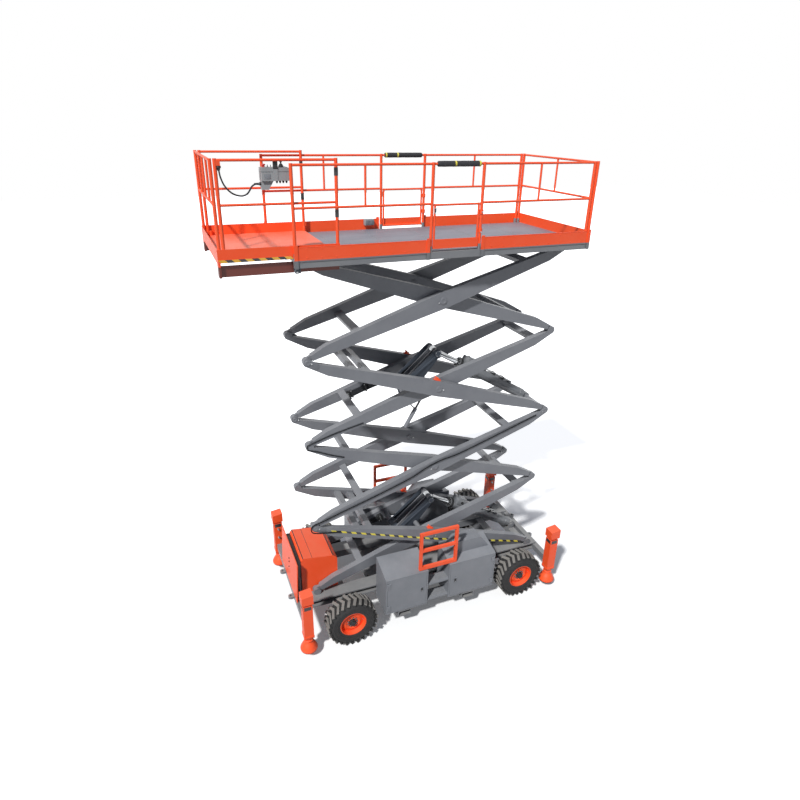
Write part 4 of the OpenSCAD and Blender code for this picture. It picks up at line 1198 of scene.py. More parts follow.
@dataclass(frozen=True)
class CylinderTrim:
    """Glands, weld bands, ports, valve blocks and feed pipes of the two lift cylinders."""

    slope: float = math.radians(30.4847)
    barrel_r: float = 0.085
    barrel_end: float = 1.560
    gland: Profile = ((-0.002, -0.055), (0.005, -0.055), (0.005, -0.012), (0.001, -0.008), (-0.006, 0.002),
                      (-0.040, 0.002))
    weld: Profile = ((-0.002, -0.014), (0.003, -0.010), (0.003, 0.010), (-0.002, 0.014))
    cap: Profile = ((0, -0.001), (0.024, -0.001), (0.024, 0.012), (0.019, 0.014), (0.019, 0.030), (0.012, 0.034),
                    (0, 0.034))
    bolts: int = 8
    bolt_circle: float = 0.066
    bands: tuple[float, ...] = (0.165, 0.700, 1.150)
    valve: tuple[float, float] = (1.225, 1.455)
    valve_half: float = 0.100
    valve_top: float = 0.150
    feed_r: float = 0.010
    feed_y: float = 0.034
    port: tuple[float, float] = (0.430, 0.495)
    clamps: tuple[float, ...] = (0.620, 0.830, 1.040)

    def place(self, level: int) -> Matrix:
        """Return the matrix whose local X runs up a cylinder from its lower pin."""
        return Matrix.Translation(STACK.rear(level)) @ Matrix.Rotation(-self.slope, 4, "Y")

    def build(self) -> None:
        """Dress both cylinders."""
        self.cylinder("lower", 0)
        self.cylinder("upper", 2)

    def cylinder(self, name: str, level: int) -> None:
        """Make one cylinder's fittings.

        Args:
            name: Which cylinder.
            level: The level of its lower pin.
        """
        place = self.place(level)
        axis = place @ Matrix.Rotation(math.pi / 2, 4, "Y")
        r, end = self.barrel_r, self.barrel_end
        shape = Shape()
        shape.turned([(r + out, end + h) for out, h in self.gland], IRON, axis, 40)
        for spot in round_spots(axis, self.bolt_circle, self.bolts, end):
            shape.bolt(spot, 0.009, ZINC)
        for along in self.bands:
            shape.turned([(r + out, along + h) for out, h in self.weld], BARREL_GREY, axis, 40)
        low, high = self.valve
        w, top = self.valve_half, self.valve_top
        shape.block((low, -w, 0.040), (high, w, top), BARREL_GREY, 0.006, place)
        lid = w * 0.62
        shape.block((low + 0.03, -lid, top - 0.002), (high - 0.05, lid, top + 0.014), ARM_GREY, 0.004, place)
        for along in (low + 0.05, high - 0.08):
            for side in SIDES:
                shape.bolt(place @ shift(along, side * w / 2, top + 0.013), 0.009, ZINC)
        for side in SIDES:
            cap = place @ shift((low + high) / 2 + 0.02, side * w, 0.10) @ Matrix.Rotation(
                -side * math.pi / 2, 4, "X")
            shape.turned(self.cap, IRON, cap, 20)
            start = Vector((self.port[1] - 0.015, side * self.feed_y, r + 0.018))
            rise = r + 0.022
            path = [start + Vector((-0.02, 0, -0.03)), start, start + Vector((0.06, 0.0, 0.004)),
                    Vector((0.80, side * self.feed_y, rise)), Vector((1.12, side * self.feed_y, rise)),
                    Vector((low + 0.01, side * self.feed_y, rise + 0.004))]
            shape.pipe([place @ p for p in smooth_path(path, 6)], self.feed_r, ZINC, 12)
        for along in self.clamps:
            shape.block((along - 0.016, -0.055, r - 0.004), (along + 0.016, 0.055, r + 0.038), IRON, 0.004, place)
            shape.bolt(place @ shift(along, 0.0, r + 0.038), 0.008, ZINC)
        shape.block((self.port[0], -0.050, r - 0.010), (self.port[1], 0.050, r + 0.030), BARREL_GREY, 0.005, place)
        settle(shape.piece(f"{name}_cylinder_fittings"), f"{name}_barrel")


@dataclass(frozen=True)
class LeverTrim:
    """The dark lever towers on two inner frames, with the hoses that lead up to them."""

    eye_along: float = 2.363
    eye_up: float = 0.300
    back: float = 1.6377
    front: float = 1.9735
    cheek_y: float = 0.148
    cheek_t: float = 0.010
    cap: Profile = ((0, 0), (0.058, 0), (0.058, 0.012), (0.050, 0.018), (0.050, 0.030), (0.028, 0.034), (0, 0.034))
    cap_circle: float = 0.041
    nut: Profile = ((0, 0), (0.010, 0), (0.010, 0.008), (0.007, 0.010), (0, 0.010))
    run: tuple[float, ...] = (0.915, 1.10, 1.30, 1.50)
    clips: tuple[float, ...] = (0.98, 1.22, 1.46)
    hose_low: float = -0.052
    hose_step: float = 0.030
    hose_r: float = 0.011
    hose_gap: float = 0.002
    hoses: int = 4
    manifold: float = 0.070

    def build(self) -> None:
        """Make both towers."""
        for number in (1, 3):
            self.tower(number)
            self.hose_run(number)

    def tower(self, number: int) -> None:
        """Make the cheeks round a lever, with their stiffeners, pin caps and cover.

        Args:
            number: The stage, from 1.
        """
        shape = Shape()
        e, h = self.eye_along, self.eye_up
        outline = [(self.back - 0.060, -0.045), (self.front + 0.020, -0.055), (self.front + 0.090, 0.030),
                   (e + 0.062, h - 0.040), (e + 0.058, h + 0.030), (e + 0.010, h + 0.066), (e - 0.060, h + 0.052),
                   (self.back + 0.020, 0.075), (self.back - 0.060, 0.050)]
        for side in SIDES:
            place = STACK.on_face(number, False, 0.0, 0.0, side * self.cheek_y, side)
            shape.plate(outline, self.cheek_t, DARK_ENAMEL, place, 0.002)
            rib = [(self.back + 0.03, 0.010), (e - 0.01, h - 0.050), (e - 0.035, h - 0.020),
                   (self.back + 0.005, 0.040)]
            shape.plate(rib, self.cheek_t + 0.010, DARK_ENAMEL, place, 0.003)
            cap = place @ shift(e, h, self.cheek_t)
            shape.turned(self.cap, DARK_ENAMEL, cap, 32)
            for spot in round_spots(cap, self.cap_circle, 4, 0.028, 0.5):
                shape.bolt(spot, 0.007, ZINC)
        ahead = STACK.on_face(number, False, 0.0, 0.0, 0.0, LEFT)
        w = self.cheek_y
        shape.block((self.back - 0.055, 0.036, -w), (self.back + 0.060, 0.048, w), DARK_ENAMEL, 0.003, ahead)
        shape.block((e - 0.150, h - 0.115, -w), (e - 0.085, h - 0.103, w), DARK_ENAMEL, 0.003, ahead)
        settle(shape.piece(f"lever_tower_{number}"), f"inner_{number}")

    def hose_run(self, number: int) -> None:
        """Make the hoses clipped to the inside of the right inner arm, which end in a manifold below the tower.

        Args:
            number: The stage, from 1.
        """
        shape = Shape()
        face, r = -STACK.inner_in, self.hose_r
        y = face + self.hose_gap + r
        for i in range(self.hoses):
            up = self.hose_low + i * self.hose_step
            path = [STACK.at(number, False, along, up + (0.003 if k % 2 else -0.002) * math.cos(i), y)
                    for k, along in enumerate(self.run)]
            shape.pipe(smooth_path(path, 5), r, HOSE, 10)
        tall = self.hoses * self.hose_step
        for along in self.clips:
            place = STACK.on_face(number, False, along, self.hose_low, face, LEFT)
            shape.block((-0.013, -0.026, -0.001), (0.013, tall - 0.004, 2 * r + 0.008), IRON, 0.003, place)
            for v in (-0.016, tall - 0.014):
                shape.bolt(place @ shift(0.0, v, 2 * r + 0.008), 0.006, ZINC)
        for along in (self.run[0], self.run[-1]):
            place = STACK.on_face(number, False, along, self.hose_low, face, LEFT)
            shape.block((-self.manifold / 2, -0.030, -0.001), (self.manifold / 2, tall, 0.046), IRON, 0.004, place)
            for i in range(self.hoses):
                nut = place @ shift(0.0, i * self.hose_step, 0.045)
                shape.turned(self.nut, ZINC, nut, 12)
        settle(shape.piece(f"hose_run_{number}"), f"inner_{number}")


@dataclass(frozen=True)
class PropTrim:
    """The hanging safety prop under the third crossing, on the inside of the left inner arm."""

    number: int = 3
    y: float = 0.380
    top: tuple[float, float] = (1.960, -0.050)
    bar_r: float = 0.016
    sleeve_r: float = 0.031
    fall: tuple[float, float] = (0.340, -0.600)
    boss: Profile = ((0, -0.012), (0.022, -0.012), (0.026, -0.008), (0.026, 0.024), (0.020, 0.028), (0, 0.028))

    def build(self) -> None:
        """Make the prop: a thin bar, its sleeve and the stay that steadies it."""
        shape = Shape()
        head = STACK.at(self.number, False, *self.top, self.y)
        foot = head + Vector((self.fall[0], 0.0, self.fall[1]))
        middle = head.lerp(foot, 0.52)
        shape.pipe([head, head.lerp(foot, 0.3), middle], self.bar_r, BLACK, 14)
        run = foot - middle
        place = facing(middle, run)
        r, n = self.sleeve_r, run.length
        shape.turned([(self.bar_r, -0.02), (r * 0.8, -0.016), (r, 0.0), (r, n - 0.006), (r * 0.85, n), (r * 0.5, n),
                      (r * 0.5, n - 0.03), (0, n - 0.03)], ARM_GREY, place, 20)
        stay = STACK.at(self.number, False, self.top[0] - 0.36, -0.070, self.y)
        shape.pipe([stay, stay.lerp(middle, 0.5), middle], self.bar_r * 0.6, BLACK, 10)
        for point in (head, stay):
            shape.turned(self.boss, DARK_ENAMEL, sideways(point, LEFT), 20)
        settle(shape.piece("safety_prop"), f"inner_{self.number}")


@dataclass(frozen=True)
class HoseRuns:
    """Hoses along the left arms, which loop round two of the front pins."""

    radius: float = 0.009
    thin: float = 0.005
    face_gap: float = 0.0015
    loop_r: float = 0.078
    thin_loop_r: float = 0.042
    bend: float = 0.085
    spread: float = 0.011
    turns: tuple[float, ...] = (-70.0, -25.0, 25.0, 70.0)
    first_lower: Profile = ((0.42, -0.030), (0.26, -0.046), (0.12, -0.070))
    first_upper: Profile = ((0.14, 0.066), (0.42, 0.062), (1.00, 0.040), (1.60, 0.034), (1.94, 0.074), (2.20, 0.074),
                            (2.52, 0.030), (3.20, 0.012), (3.96, 0.004))
    second_lower: Profile = ((0.56, -0.075), (0.36, -0.066), (0.12, -0.040))
    second_upper: Profile = ((0.12, 0.040), (0.40, 0.030), (0.85, -0.020))

    def over_pin(self, name: str, lower: tuple[int, bool], upper: tuple[int, bool], pin: Vector, y: float,
                 lower_run: Sequence[tuple[float, float]], upper_run: Sequence[tuple[float, float]],
                 bodies: tuple[str, str], spread: float, radius: float, loop_r: float) -> None:
        """Make hoses from a lower arm round its upper pin to the arm above.

        Args:
            name: The piece's name.
            lower: The lower arm's stage and whether it is an outer arm.
            upper: The same of the upper arm.
            pin: The pin between them.
            y: The plane that the hoses lie in.
            lower_run: Points before the lower arm's upper pin and above its pin line, towards the pin.
            upper_run: Points along and above the upper arm, away from the pin.
            bodies: The two bodies that it runs between; they are only logged.
            spread: The distance between its two hoses.
            radius: A hose's radius.
            loop_r: The radius of the inner hose's loop.
        """
        shape = Shape()
        for k in (0, 1):
            apart = k * spread
            ahead = [STACK.at(*lower, STACK.arm_len - u, v - apart, y) for u, v in lower_run]
            round_pin = []
            for angle in self.turns:
                a = math.radians(angle)
                r = loop_r + apart
                round_pin.append(pin + Vector((r * math.cos(a), y, r * math.sin(a))))
            after = [STACK.at(*upper, u, v + apart, y) for u, v in upper_run]
            shape.pipe(smooth_path([*ahead, *round_pin, *after], 6), radius, HOSE, 12)
        made = shape.piece(name, 60)
        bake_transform(made)
        LOG.info("%s between %s and %s", name, *bodies)

    def build(self) -> None:
        """Make both loops."""
        y = STACK.outer_out + 0.004 + self.radius + self.face_gap
        self.over_pin("hose_loop_first_pin", (1, True), (2, True), STACK.front(1), y,
                      self.first_lower, self.first_upper, ("outer_1", "outer_2"), 0.0, self.radius, self.loop_r)
        y = STACK.inner_out + self.thin + self.face_gap
        self.over_pin("hose_loop_second_pin", (2, False), (3, False), STACK.front(2), y,
                      self.second_lower, self.second_upper, ("inner_2", "inner_3"), self.spread, self.thin,
                      self.thin_loop_r)


@dataclass(frozen=True)
class ChassisTrim:
    """Seams, seals, bolts, latches and treads of the hood, front panel, cabinets and steps."""

    hood_seam: float = 0.150
    hood_len: float = 0.500
    hood_slope: float = math.atan2(0.070, 0.495)
    seam_w: float = 0.006
    seal_w: float = 0.014
    gap: tuple[float, float] = (1.816, 1.886)
    grille_z: tuple[float, float] = (0.640, 1.262)
    grille_half: float = 0.392
    slats: int = 12
    panel_lean: float = math.atan2(0.040, 0.734)
    panel_bolts: tuple[float, ...] = (0.30, 0.40, 0.47)
    panel_half: float = 0.560
    strut: tuple[float, float] = (1.846, 0.372)
    strut_form: Profile = ((0, 0), (0.030, 0), (0.030, 0.010), (0.024, 0.014), (0.024, 0.36), (0.020, 0.366),
                           (0.012, 0.368), (0.012, 0.560), (0.018, 0.562), (0.018, 0.590), (0, 0.590))
    step_x: tuple[float, float] = (-0.478, -0.101)
    step_y: tuple[float, float] = (0.895, 1.095)
    step_tops: tuple[float, float] = (0.465, 0.785)
    tread_pitch: float = 0.042
    cabinet_face: float = 1.120
    cabinet_fold: float = 1.085
    cabinets: tuple[tuple[float, float], ...] = ((-0.097, 0.633), (-1.337, -0.482))
    lid_drop: float = math.atan2(0.130, 0.460)
    cover_x: tuple[float, float] = (-1.107, -0.712)
    cover_y: float = 0.830
    cover_z: float = 1.3600
    latch_in: float = 0.110

    def build(self) -> None:
        """Make the trim of the hood, the panel, the cabinets and the steps."""
        self.hood()
        self.panel()
        self.steps()
        for side, word in NAMED_SIDES:
            self.cabinet_top(side, word)
            for end in ("front", "rear"):
                self.door(f"{end}_{word}", side)

    def hood(self) -> None:
        """Make the lid's seam, its rubber seals and the dark grille between the hood and the front panel."""
        low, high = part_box("hood")
        shape = Shape()
        top = shift(high.x - 0.040, 0.0, high.z) @ Matrix.Rotation(-self.hood_slope, 4, "Y")
        for back, wide in ((self.hood_seam, self.seam_w), (self.hood_len, self.seal_w), (0.002, self.seal_w)):
            shape.block((-back, low.y + 0.003, -0.004), (-back + wide, high.y - 0.003, 0.0014), BLACK, 0.0005, top)
        (x0, x1), (z0, z1), half = self.gap, self.grille_z, self.grille_half
        for side in SIDES:
            ya, yb = sorted((side * half, side * (half - 0.010)))
            shape.block((x0, ya, z0), (x1, yb, z1), BLACK, 0.002)
        for i in range(self.slats):
            z = z1 - 0.012 - i * (z1 - z0) / self.slats
            shape.block((x0 + 0.004, -half + 0.008, z - 0.005), (x1 - 0.006, half - 0.008, z + 0.005), BLACK, 0.002)
        settle(shape.piece("hood_seals_and_grille"), "chassis")

    def panel(self) -> None:
        """Make the front panel's bolts and the struts behind it."""
        low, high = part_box("front_panel")
        shape = Shape()
        lean = shift(high.x, 0.0, low.z) @ Matrix.Rotation(-self.panel_lean, 4, "Y")
        outward = Matrix.Rotation(math.pi / 2, 4, "Y")
        for up in self.panel_bolts:
            shape.bolt(lean @ shift(-0.001, 0.0, up) @ outward, 0.011, IRON, IRON)
        for y in (0.05 - self.panel_half, self.panel_half - 0.05):
            for up in (0.05, high.z - low.z - 0.05):
                shape.bolt(lean @ shift(-0.001, y, up) @ outward, 0.007, ORANGE)
        settle(shape.piece("front_panel_bolts"), "chassis")
        rod = Shape()
        x, y = self.strut
        for side in SIDES:
            base = shift(x, side * y, low.z)
            rod.turned(self.strut_form, ARM_GREY, base, 24)
        settle(rod.piece("panel_struts"), "chassis")

    def steps(self) -> None:
        """Lay ridged treads on the steps between the cabinets."""
        shape = Shape()
        (x0, x1), (y0, y1) = self.step_x, self.step_y
        for top in self.step_tops:
            for side in SIDES:
                for i in range(int((y1 - y0) / self.tread_pitch)):
                    y = side * (y0 + (i + 0.5) * self.tread_pitch)
                    shape.block((x0 + 0.01, y - 0.006, top - 0.001), (x1 - 0.01, y + 0.006, top + 0.003),
                                FRAME_GREY, 0.001)
        settle(shape.piece("step_treads"), "chassis")

    def cabinet_top(self, side: int, word: str) -> None:
        """Make the lid seams, screws and cover plates of a side's cabinets.

        Args:
            side: The machine's side, +1 for the left.
            word: Its name.
        """
        shape = Shape()
        for x0, x1 in self.cabinets:
            fold = shift((x0 + x1) / 2, side * self.cabinet_face, self.cabinet_fold)
            place = fold @ Matrix.Rotation(-side * self.lid_drop, 4, "X")
            half = (x1 - x0) / 2
            run = sorted((-side * 0.020, -side * 0.025))
            shape.block((0.01 - half, run[0], -0.002), (half - 0.01, run[1], 0.0012), FRAME_GREY, 0.0005, place)
            for x in (0.06 - half, half - 0.06):
                shape.bolt(place @ shift(x, -side * 0.045, 0.0), 0.007, CABINET_GREY)
        low, high = self.cover_x
        y, z = side * self.cover_y, self.cover_z
        shape.block((low, y - 0.100, z - 0.0015), (high, y + 0.100, z + 0.0015), CABINET_GREY, 0.001)
        for x in (low + 0.05, high - 0.05):
            for v in (-0.07, 0.07):
                shape.bolt(shift(x, y + v, z + 0.0012), 0.008, ZINC)
        settle(shape.piece(f"cabinet_seams_{word}"), "chassis")

    def door(self, name: str, side: int) -> None:
        """Make one cabinet door's paddle latch and lock.

        Args:
            name: The door's place, as in its body's name.
            side: The machine's side, +1 for the left.
        """
        low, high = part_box(f"door_{name}")
        shape = Shape()
        (front_back, _), (_, rear_front) = self.cabinets
        latch_x = front_back + self.latch_in if name.startswith("front") else rear_front - self.latch_in
        z = (low.z + high.z) / 2
        place = sideways((latch_x, side * (self.cabinet_face + 0.012), z), side)
        shape.block((-0.018, -0.034, -0.001), (0.018, 0.034, 0.003), BLACK, 0.002, place)
        shape.block((-0.012, -0.008, 0.002), (0.012, 0.026, 0.009), IRON, 0.004, place)
        shape.turned(peg(0.007, 0.004), ZINC, place @ shift(0, -0.022, 0.002), 16)
        settle(shape.piece(f"door_latch_{name}"), f"door_{name}")


@dataclass(frozen=True)
class OutriggerTrim:
    """Painted shade of the recesses under the caps, hose unions and foot fittings of the outriggers."""

    column_half: float = 0.075
    column_y: float = 1.085
    column_low: float = 0.400
    recess: tuple[float, float] = (0.968, 1.036)
    painted_recess_shade_half: float = 0.056
    collar: tuple[float, float] = (0.045, 0.005)
    union_z: tuple[float, float] = (0.75, 0.93)
    union: Profile = ((0, 0), (0.020, 0), (0.020, 0.014), (0.015, 0.016), (0.015, 0.034), (0.011, 0.036), (0, 0.036))
    rim: Profile = ((0.090, 0.0004), (0.1275, 0.0004), (0.1335, 0.012), (0.1335, 0.018), (0.1255, 0.020))
    neck: Profile = ((0.058, 0.188), (0.072, 0.188), (0.074, 0.192), (0.074, 0.204), (0.070, 0.208), (0.058, 0.208))
    bolt_z: float = 0.052
    bolt_circle: float = 0.118
    bolts: int = 6
    xs: tuple[tuple[str, float], ...] = (("front", 1.903), ("rear", -2.502))

    def build(self) -> None:
        """Make the trim of the four columns and legs."""
        shape = Shape()
        for _, x in self.xs:
            for side in SIDES:
                self.column(shape, x, side)
        settle(shape.piece("outrigger_column_fittings"), "chassis")
        for end, x in self.xs:
            for side, word in NAMED_SIDES:
                self.foot(f"{end}_{word}", x, side)

    def column(self, shape: Shape, x: float, side: int) -> None:
        """Make one column's black plates of painted recess shade under the cap, lower collar and hose unions.

        Args:
            shape: The piece that takes them.
            x: The column's place along the machine.
            side: The machine's side, +1 for the left.
        """
        y, h = side * self.column_y, self.column_half
        low, high = self.recess
        tall, out = self.collar
        for nx, ny in ((1, 0), (-1, 0), (0, 1), (0, -1)):
            face = facing((x + nx * h, y + ny * h, (low + high) / 2), (float(nx), float(ny), 0.0))
            half = (high - low) / 2
            # Thin black plates on each face under the cap: painted shade that stands in for a recess
            shape.block((-self.painted_recess_shade_half, -half, -0.002), (self.painted_recess_shade_half, half, 0.0012), BLACK, 0.001, face)
            foot = facing((x + nx * h, y + ny * h, self.column_low + tall / 2), (float(nx), float(ny), 0.0))
            shape.block((-h - out, -tall / 2, -0.001), (h + out, tall / 2, out), ORANGE, 0.002, foot)
        for z in self.union_z:
            union = sideways((x, y - side * h, z), -side)
            shape.turned(self.union, ZINC, union, 16)

    def foot(self, name: str, x: float, side: int) -> None:
        """Make one foot's sole pad, rim, collar and retaining bolts.

        Args:
            name: The leg's place, as in its body's name.
            x: Its place along the machine.
            side: The machine's side, +1 for the left.
        """
        low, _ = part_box(f"outrigger_{name}")
        shape = Shape()
        place = shift(x, side * self.column_y, low.z)
        shape.turned(self.rim, IRON, place, 48)
        for spot in round_spots(place, self.bolt_circle, self.bolts, self.bolt_z, 0.5):
            shape.bolt(spot, 0.007, ORANGE)
        shape.turned(self.neck, ORANGE, place, 36)
        settle(shape.piece(f"foot_fittings_{name}"), f"outrigger_{name}")


@dataclass(frozen=True)
class PlatformTrim:
    """Sockets, rivets, pins, deck seams and corner rollers of the platform, and the trim of its extension."""

    deck_z: float = 6.1403
    beam_z: float = 6.1303
    beam_face: float = 0.925
    rail_y: float = 0.905
    post_r: float = 0.0203
    posts: tuple[float, ...] = (-2.442, -2.382)
    near_posts: tuple[float, ...] = (-0.702, -0.002, 1.738)
    outlet: tuple[float, float, float] = (0.201, -0.885, 6.250)
    seams: tuple[float, ...] = (-1.75, -1.05, -0.35, 0.35, 1.05)
    board_face: float = 0.933
    boards: tuple[tuple[float, float], ...] = ((-2.400, -0.785), (0.085, 1.694))
    rivets: int = 9
    stripe: float = 0.075
    stripe_lean: float = 0.018
    stripe_z: tuple[float, float] = (6.1480, 6.1810)
    stripe_start: float = 1.772
    slide_face: float = 0.880
    slide_post_y: float = 0.852
    slide_posts: tuple[float, float] = (1.204, 2.502)
    slide_deck_z: float = 6.1663
    # Heights of the two black bands on each rear extension post: the upper one is a sleeve, the lower one at 6.600 is
    # a painted shadow
    sleeves: tuple[float, float] = (6.600, 7.060)
    socket_h: float = 0.075
    corner_x: float = 1.736
    cheeks: Profile = ((0.846, 0.853), (0.909, 0.916))
    roller: Profile = ((0, 0), (0.021, 0), (0.024, 0.003), (0.024, 0.022), (0.020, 0.026), (0.024, 0.030),
                       (0.024, 0.049),
                       (0.021, 0.052), (0, 0.052))
    collar: Profile = ((0.0205, 0.0), (0.0235, 0.0), (0.0235, 0.060), (0.0205, 0.064))
    sleeve: Profile = ((0.0202, 0.0), (0.0225, 0.0), (0.0235, 0.004), (0.0235, 0.086), (0.0225, 0.090),
                       (0.0202, 0.090))
    roller_z: float = 5.992

    def build(self) -> None:
        """Make the trim of the platform, its gates and the extension."""
        self.sockets()
        self.deck()
        self.beam()
        self.corners()
        self.extension()
        for side, word in NAMED_SIDES:
            self.gate(side, word)

    def sockets(self) -> None:
        """Make the sockets, pins and clips of the rear posts, and thin collars where the gates and extension pass."""
        shape = Shape()
        r, h = self.post_r, self.socket_h
        for side in SIDES:
            for x in self.posts:
                place = shift(x, side * self.rail_y, self.beam_z)
                socket = [(r, 0.0005), (0.0238, 0.0005), (0.0238, h - 0.004), (0.0225, h), (r, h)]
                shape.turned(socket, FRAME_GREY, place, 28)
                pin = sideways((x, side * (self.rail_y - 0.027), self.beam_z + 0.055), side)
                shape.turned(peg(0.006, 0.051), ZINC, pin, 12)
                ring = [pin @ Vector((0.014 * math.cos(a), 0.014 * math.sin(a) - 0.014, 0.003))
                        for a in [2 * math.pi * k / 16 for k in range(17)]]
                shape.pipe(ring, 0.0016, ZINC, 6)
            for x in self.near_posts:
                place = shift(x, side * self.rail_y, self.beam_z)
                shape.turned(hoop(r, r + 0.0012, 0.0005, h), FRAME_GREY, place, 28)
        settle(shape.piece("post_sockets"), "platform")

    def deck(self) -> None:
        """Make the deck's seams, its screws and the outlet box on the far toe board."""
        shape = Shape()
        z = self.deck_z
        for x in self.seams:
            shape.block((x - 0.002, -0.860, z - 0.001), (x + 0.002, 0.860, z + 0.0008), FRAME_GREY, 0.0)
            for k in range(9):
                for dx in (-0.022, 0.022):
                    shape.bolt(shift(x + dx, -0.80 + 0.20 * k, z - 0.0005), 0.0055, ZINC)
        x, y, up = self.outlet
        shape.block((x - 0.075, y - 0.030, up - 0.045), (x + 0.075, y + 0.040, up + 0.045), ABS, 0.006)
        for start in (x - 0.060, x + 0.004):
            shape.block((start, y + 0.039, up - 0.032), (start + 0.056, y + 0.048, up + 0.032), ARM_GREY, 0.003)
        settle(shape.piece("deck_seams_and_outlet"), "platform")

    def beam(self) -> None:
        """Make the rivets and the pressed line of the toe boards."""
        shape = Shape()
        _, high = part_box("toe_boards")
        for side in SIDES:
            face = side * self.board_face
            ya, yb = sorted((face - side * 0.006, face + side * 0.003))
            for start, end in self.boards:
                for i in range(self.rivets):
                    x = start + (end - start) * (i + 0.5) / self.rivets
                    for z in (self.deck_z + 0.018, self.deck_z + 0.122):
                        shape.bolt(sideways((x, face, z), side), 0.006, ORANGE)
                shape.block((start, ya, high.z - 0.026), (end, yb, high.z - 0.0235), ORANGE, 0.0005)
        settle(shape.piece("toe_board_rivets"), "platform")

    def corners(self) -> None:
        """Make the end plate, bracket and roller under each front corner, which carry the sliding deck."""
        shape = Shape()
        x, z = self.corner_x, self.roller_z
        for side in SIDES:
            ya, yb = sorted((side * self.beam_face, side * (self.beam_face + 0.006)))
            shape.block((x - 0.024, ya, self.beam_z - 0.105), (x + 0.018, yb, self.beam_z - 0.004), ARM_GREY, 0.002)
            for cheek in self.cheeks:
                low, high = sorted(side * y for y in cheek)
                shape.block((x - 0.052, low, z - 0.012), (x + 0.018, high, self.beam_z - 0.088), DARK_ENAMEL, 0.002)
            wheel = sideways((x - 0.008, side * 0.855, z), side)
            shape.turned(self.roller, ZINC, wheel, 28)
            shape.bolt(sideways((x - 0.008, side * 0.916, z), side), 0.009, ZINC)
        settle(shape.piece("corner_rollers"), "platform")

    def gate(self, side: int, word: str) -> None:
        """Make one gate's latch and its hinge bolts.

        Args:
            side: The machine's side, +1 for the left.
            word: Its name.
        """
        shape = Shape()
        low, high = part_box(f"gate_{word}")
        y = side * self.rail_y
        place = sideways((high.x - 0.014, y + side * 0.014, high.z - 0.080), side)
        shape.block((-0.014, -0.035, -0.001), (0.014, 0.035, 0.006), ZINC, 0.002, place)
        shape.block((-0.008, -0.020, 0.005), (0.008, 0.026, 0.014), IRON, 0.003, place)
        for z in (high.z - 0.115, high.z - 0.365):
            clamp = sideways((low.x + 0.029, y + side * 0.0290, z), side)
            shape.bolt(clamp, 0.007, ZINC)
        settle(shape.piece(f"gate_latch_{word}"), f"gate_{word}")

    def extension(self) -> None:
        """Make the extension's marking stripes, post collars, and two black bands on each rear post: a sleeve above
        and a painted shadow below.
        """
        shape = Shape()
        _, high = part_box("extension_deck")
        z0, z1 = self.stripe_z
        lean = self.stripe_lean
        for side in SIDES:
            face = side * self.slide_face
            place = sideways((0.0, face, 0.0), side)
            back = place.inverted()
            count = int((high.x - self.stripe_start) / self.stripe)
            for number in range(count):
                x = self.stripe_start + number * self.stripe
                end = x + self.stripe
                outline = [(x - lean, z0), (end - lean, z0), (end + lean, z1), (x + lean, z1)]
                points = [back @ Vector((px, face, pz)) for px, pz in outline]
                shape.plate([(p.x, p.y) for p in points], 0.0015, BLACK if number % 2 else AMBER, place, 0.0)
            for px in self.slide_posts:
                place = shift(px, side * self.slide_post_y, self.slide_deck_z)
                shape.turned(self.collar, ORANGE, place, 28)
            # The lower black band is a painted shadow on the post, the upper one a sleeve
            for z in self.sleeves:
                place = shift(self.slide_posts[0], side * self.slide_post_y, z)
                shape.turned(self.sleeve, BLACK, place, 28)
        settle(shape.piece("extension_markings"), "extension")


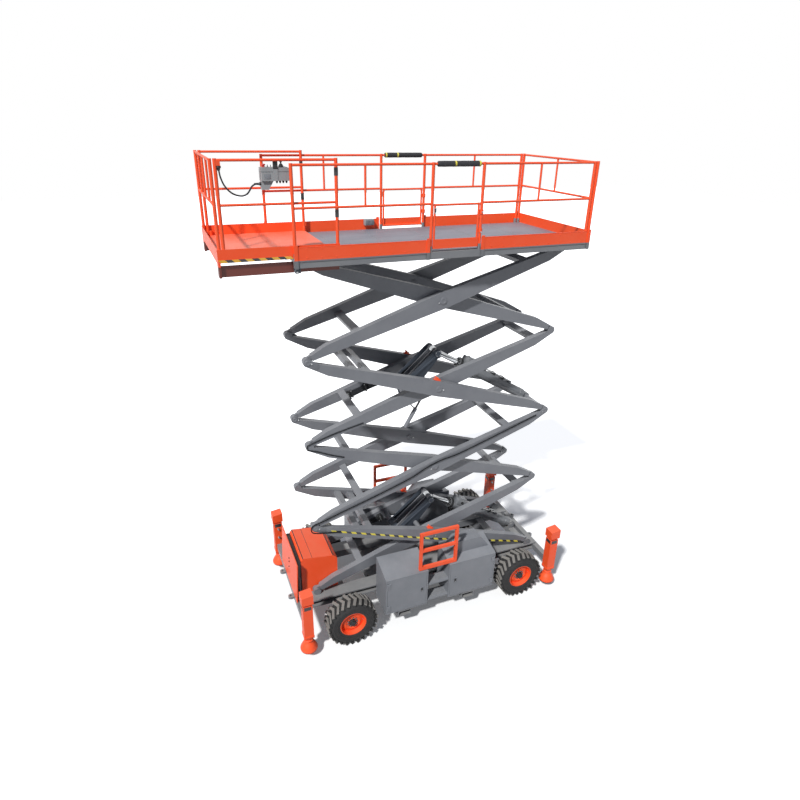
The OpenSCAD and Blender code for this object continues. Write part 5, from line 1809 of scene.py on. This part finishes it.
@dataclass(frozen=True)
class ControlBoxTrim:
    """Lid, lever, switches, strap and connectors of the control box."""

    box_x: tuple[float, float] = (1.738, 2.048)
    box_y: tuple[float, float] = (0.6707, 0.8307)
    box_z: tuple[float, float] = (7.0103, 7.1453)
    strap_x: tuple[float, float] = (1.868, 1.918)
    strap_top: float = 7.2253
    gland_z: float = 6.9753
    lid: float = 0.004
    lever: Profile = ((0, 0), (0.032, 0), (0.032, 0.006), (0.026, 0.012), (0.028, 0.016), (0.020, 0.024),
                      (0.021, 0.028),
                      (0.010, 0.036), (0.008, 0.0496), (0.014, 0.0544), (0.016, 0.0688), (0.011, 0.080), (0, 0.080))
    switch: Profile = ((0, 0), (0.011, 0), (0.011, 0.003), (0.006, 0.005), (0.004, 0.018), (0.005, 0.024), (0, 0.026))
    stop: Profile = ((0, 0), (0.020, 0), (0.020, 0.006), (0.012, 0.008), (0.012, 0.016), (0.021, 0.018),
                     (0.022, 0.028),
                     (0.018, 0.034), (0, 0.036))
    socket: Profile = ((0, 0), (0.013, 0), (0.013, 0.016), (0.009, 0.018), (0.009, 0.028), (0, 0.028))
    gland: Profile = ((0.0165, 0.001), (0.021, 0.001), (0.021, 0.010), (0.0185, 0.012), (0.0185, 0.020),
                      (0.0165, 0.022))
    sockets: int = 4
    socket_step: float = 0.036

    def build(self) -> None:
        """Make the fittings of the box."""
        (x0, x1), (y0, y1), (z0, z1) = self.box_x, self.box_y, self.box_z
        shape = Shape()
        shape.block((x0 + 0.008, y0 + 0.008, z1 - 0.001), (x1 - 0.008, y1 - 0.008, z1 + self.lid), ABS, 0.003)
        shape.block((x0 - 0.001, y0 - 0.001, z1 - 0.042), (x1 + 0.001, y1 + 0.001, z1 - 0.038), IRON, 0.001)
        shape.block((x1 - 0.100, y1 - 0.001, z0 + 0.020), (x1 - 0.030, y1 + 0.003, z0 + 0.072), CABINET_GREY, 0.003)
        strap, far = self.strap_x
        shape.block((strap - 0.002, y1 + 0.001, z1 - 0.010), (far + 0.002, y1 + 0.0085, self.strap_top), IRON, 0.002)
        base = shift(x0 + 0.075, (y0 + y1) / 2, z1 + self.lid - 0.001)
        shape.turned(self.lever, IRON, base, 28)
        for i, x in enumerate((x0 + 0.145, x0 + 0.185, x1 - 0.090)):
            spot = shift(x, y0 + 0.050, z1 + self.lid - 0.001)
            shape.turned(self.switch, ZINC if i % 2 else IRON, spot, 16)
        stop = shift(x1 - 0.045, y0 + 0.055, z1 + self.lid - 0.001)
        shape.turned(self.stop, RED_ABS, stop, 28)
        for x in (x0 + 0.02, x1 - 0.02):
            for y in (y0 + 0.02, y1 - 0.02):
                shape.bolt(shift(x, y, z1 + self.lid - 0.0005), 0.005, ZINC)
        for k in range(self.sockets):
            place = shift(x0 + 0.030 + self.socket_step * k, y1 - 0.040, z0 + 0.001)
            shape.turned(self.socket, IRON, place @ Matrix.Rotation(math.pi, 4, "X"), 16)
        gland = facing((x1, (y0 + y1) / 2, self.gland_z), (1.0, 0.0, 0.0))
        shape.turned(self.gland, IRON, gland, 6)
        settle(shape.piece("control_box_fittings"), "extension")


def dress_frame() -> None:
    """Give every node of the frame its own finish."""
    for entry in frame["record"]["subparts"]:
        node = frame["nodes"][entry["node"]]
        finish = SPECIAL.get(entry["node"], FINISHES[entry["material_slot"]])
        node.data.materials.clear()
        node.data.materials.append(finish.material())
        node.data.shade_smooth()
        node.data.set_sharp_from_angle(angle=math.radians(32))
        LOG.info("%s: %s", entry["node"], finish.name)


def main() -> None:
    """Build the scene in order."""
    logging.basicConfig(level=logging.INFO, format="%(name)s: %(message)s")
    studio = Studio()
    studio.camera()
    ControlCable().build()
    studio.light()
    studio.floor()
    dress_frame()
    for group in (GatePads, WheelTrim, ArmTrim, CylinderTrim, LeverTrim, PropTrim, HoseRuns, ChassisTrim,
                  OutriggerTrim, PlatformTrim, ControlBoxTrim):
        group().build()


if __name__ == "__main__":
    main()
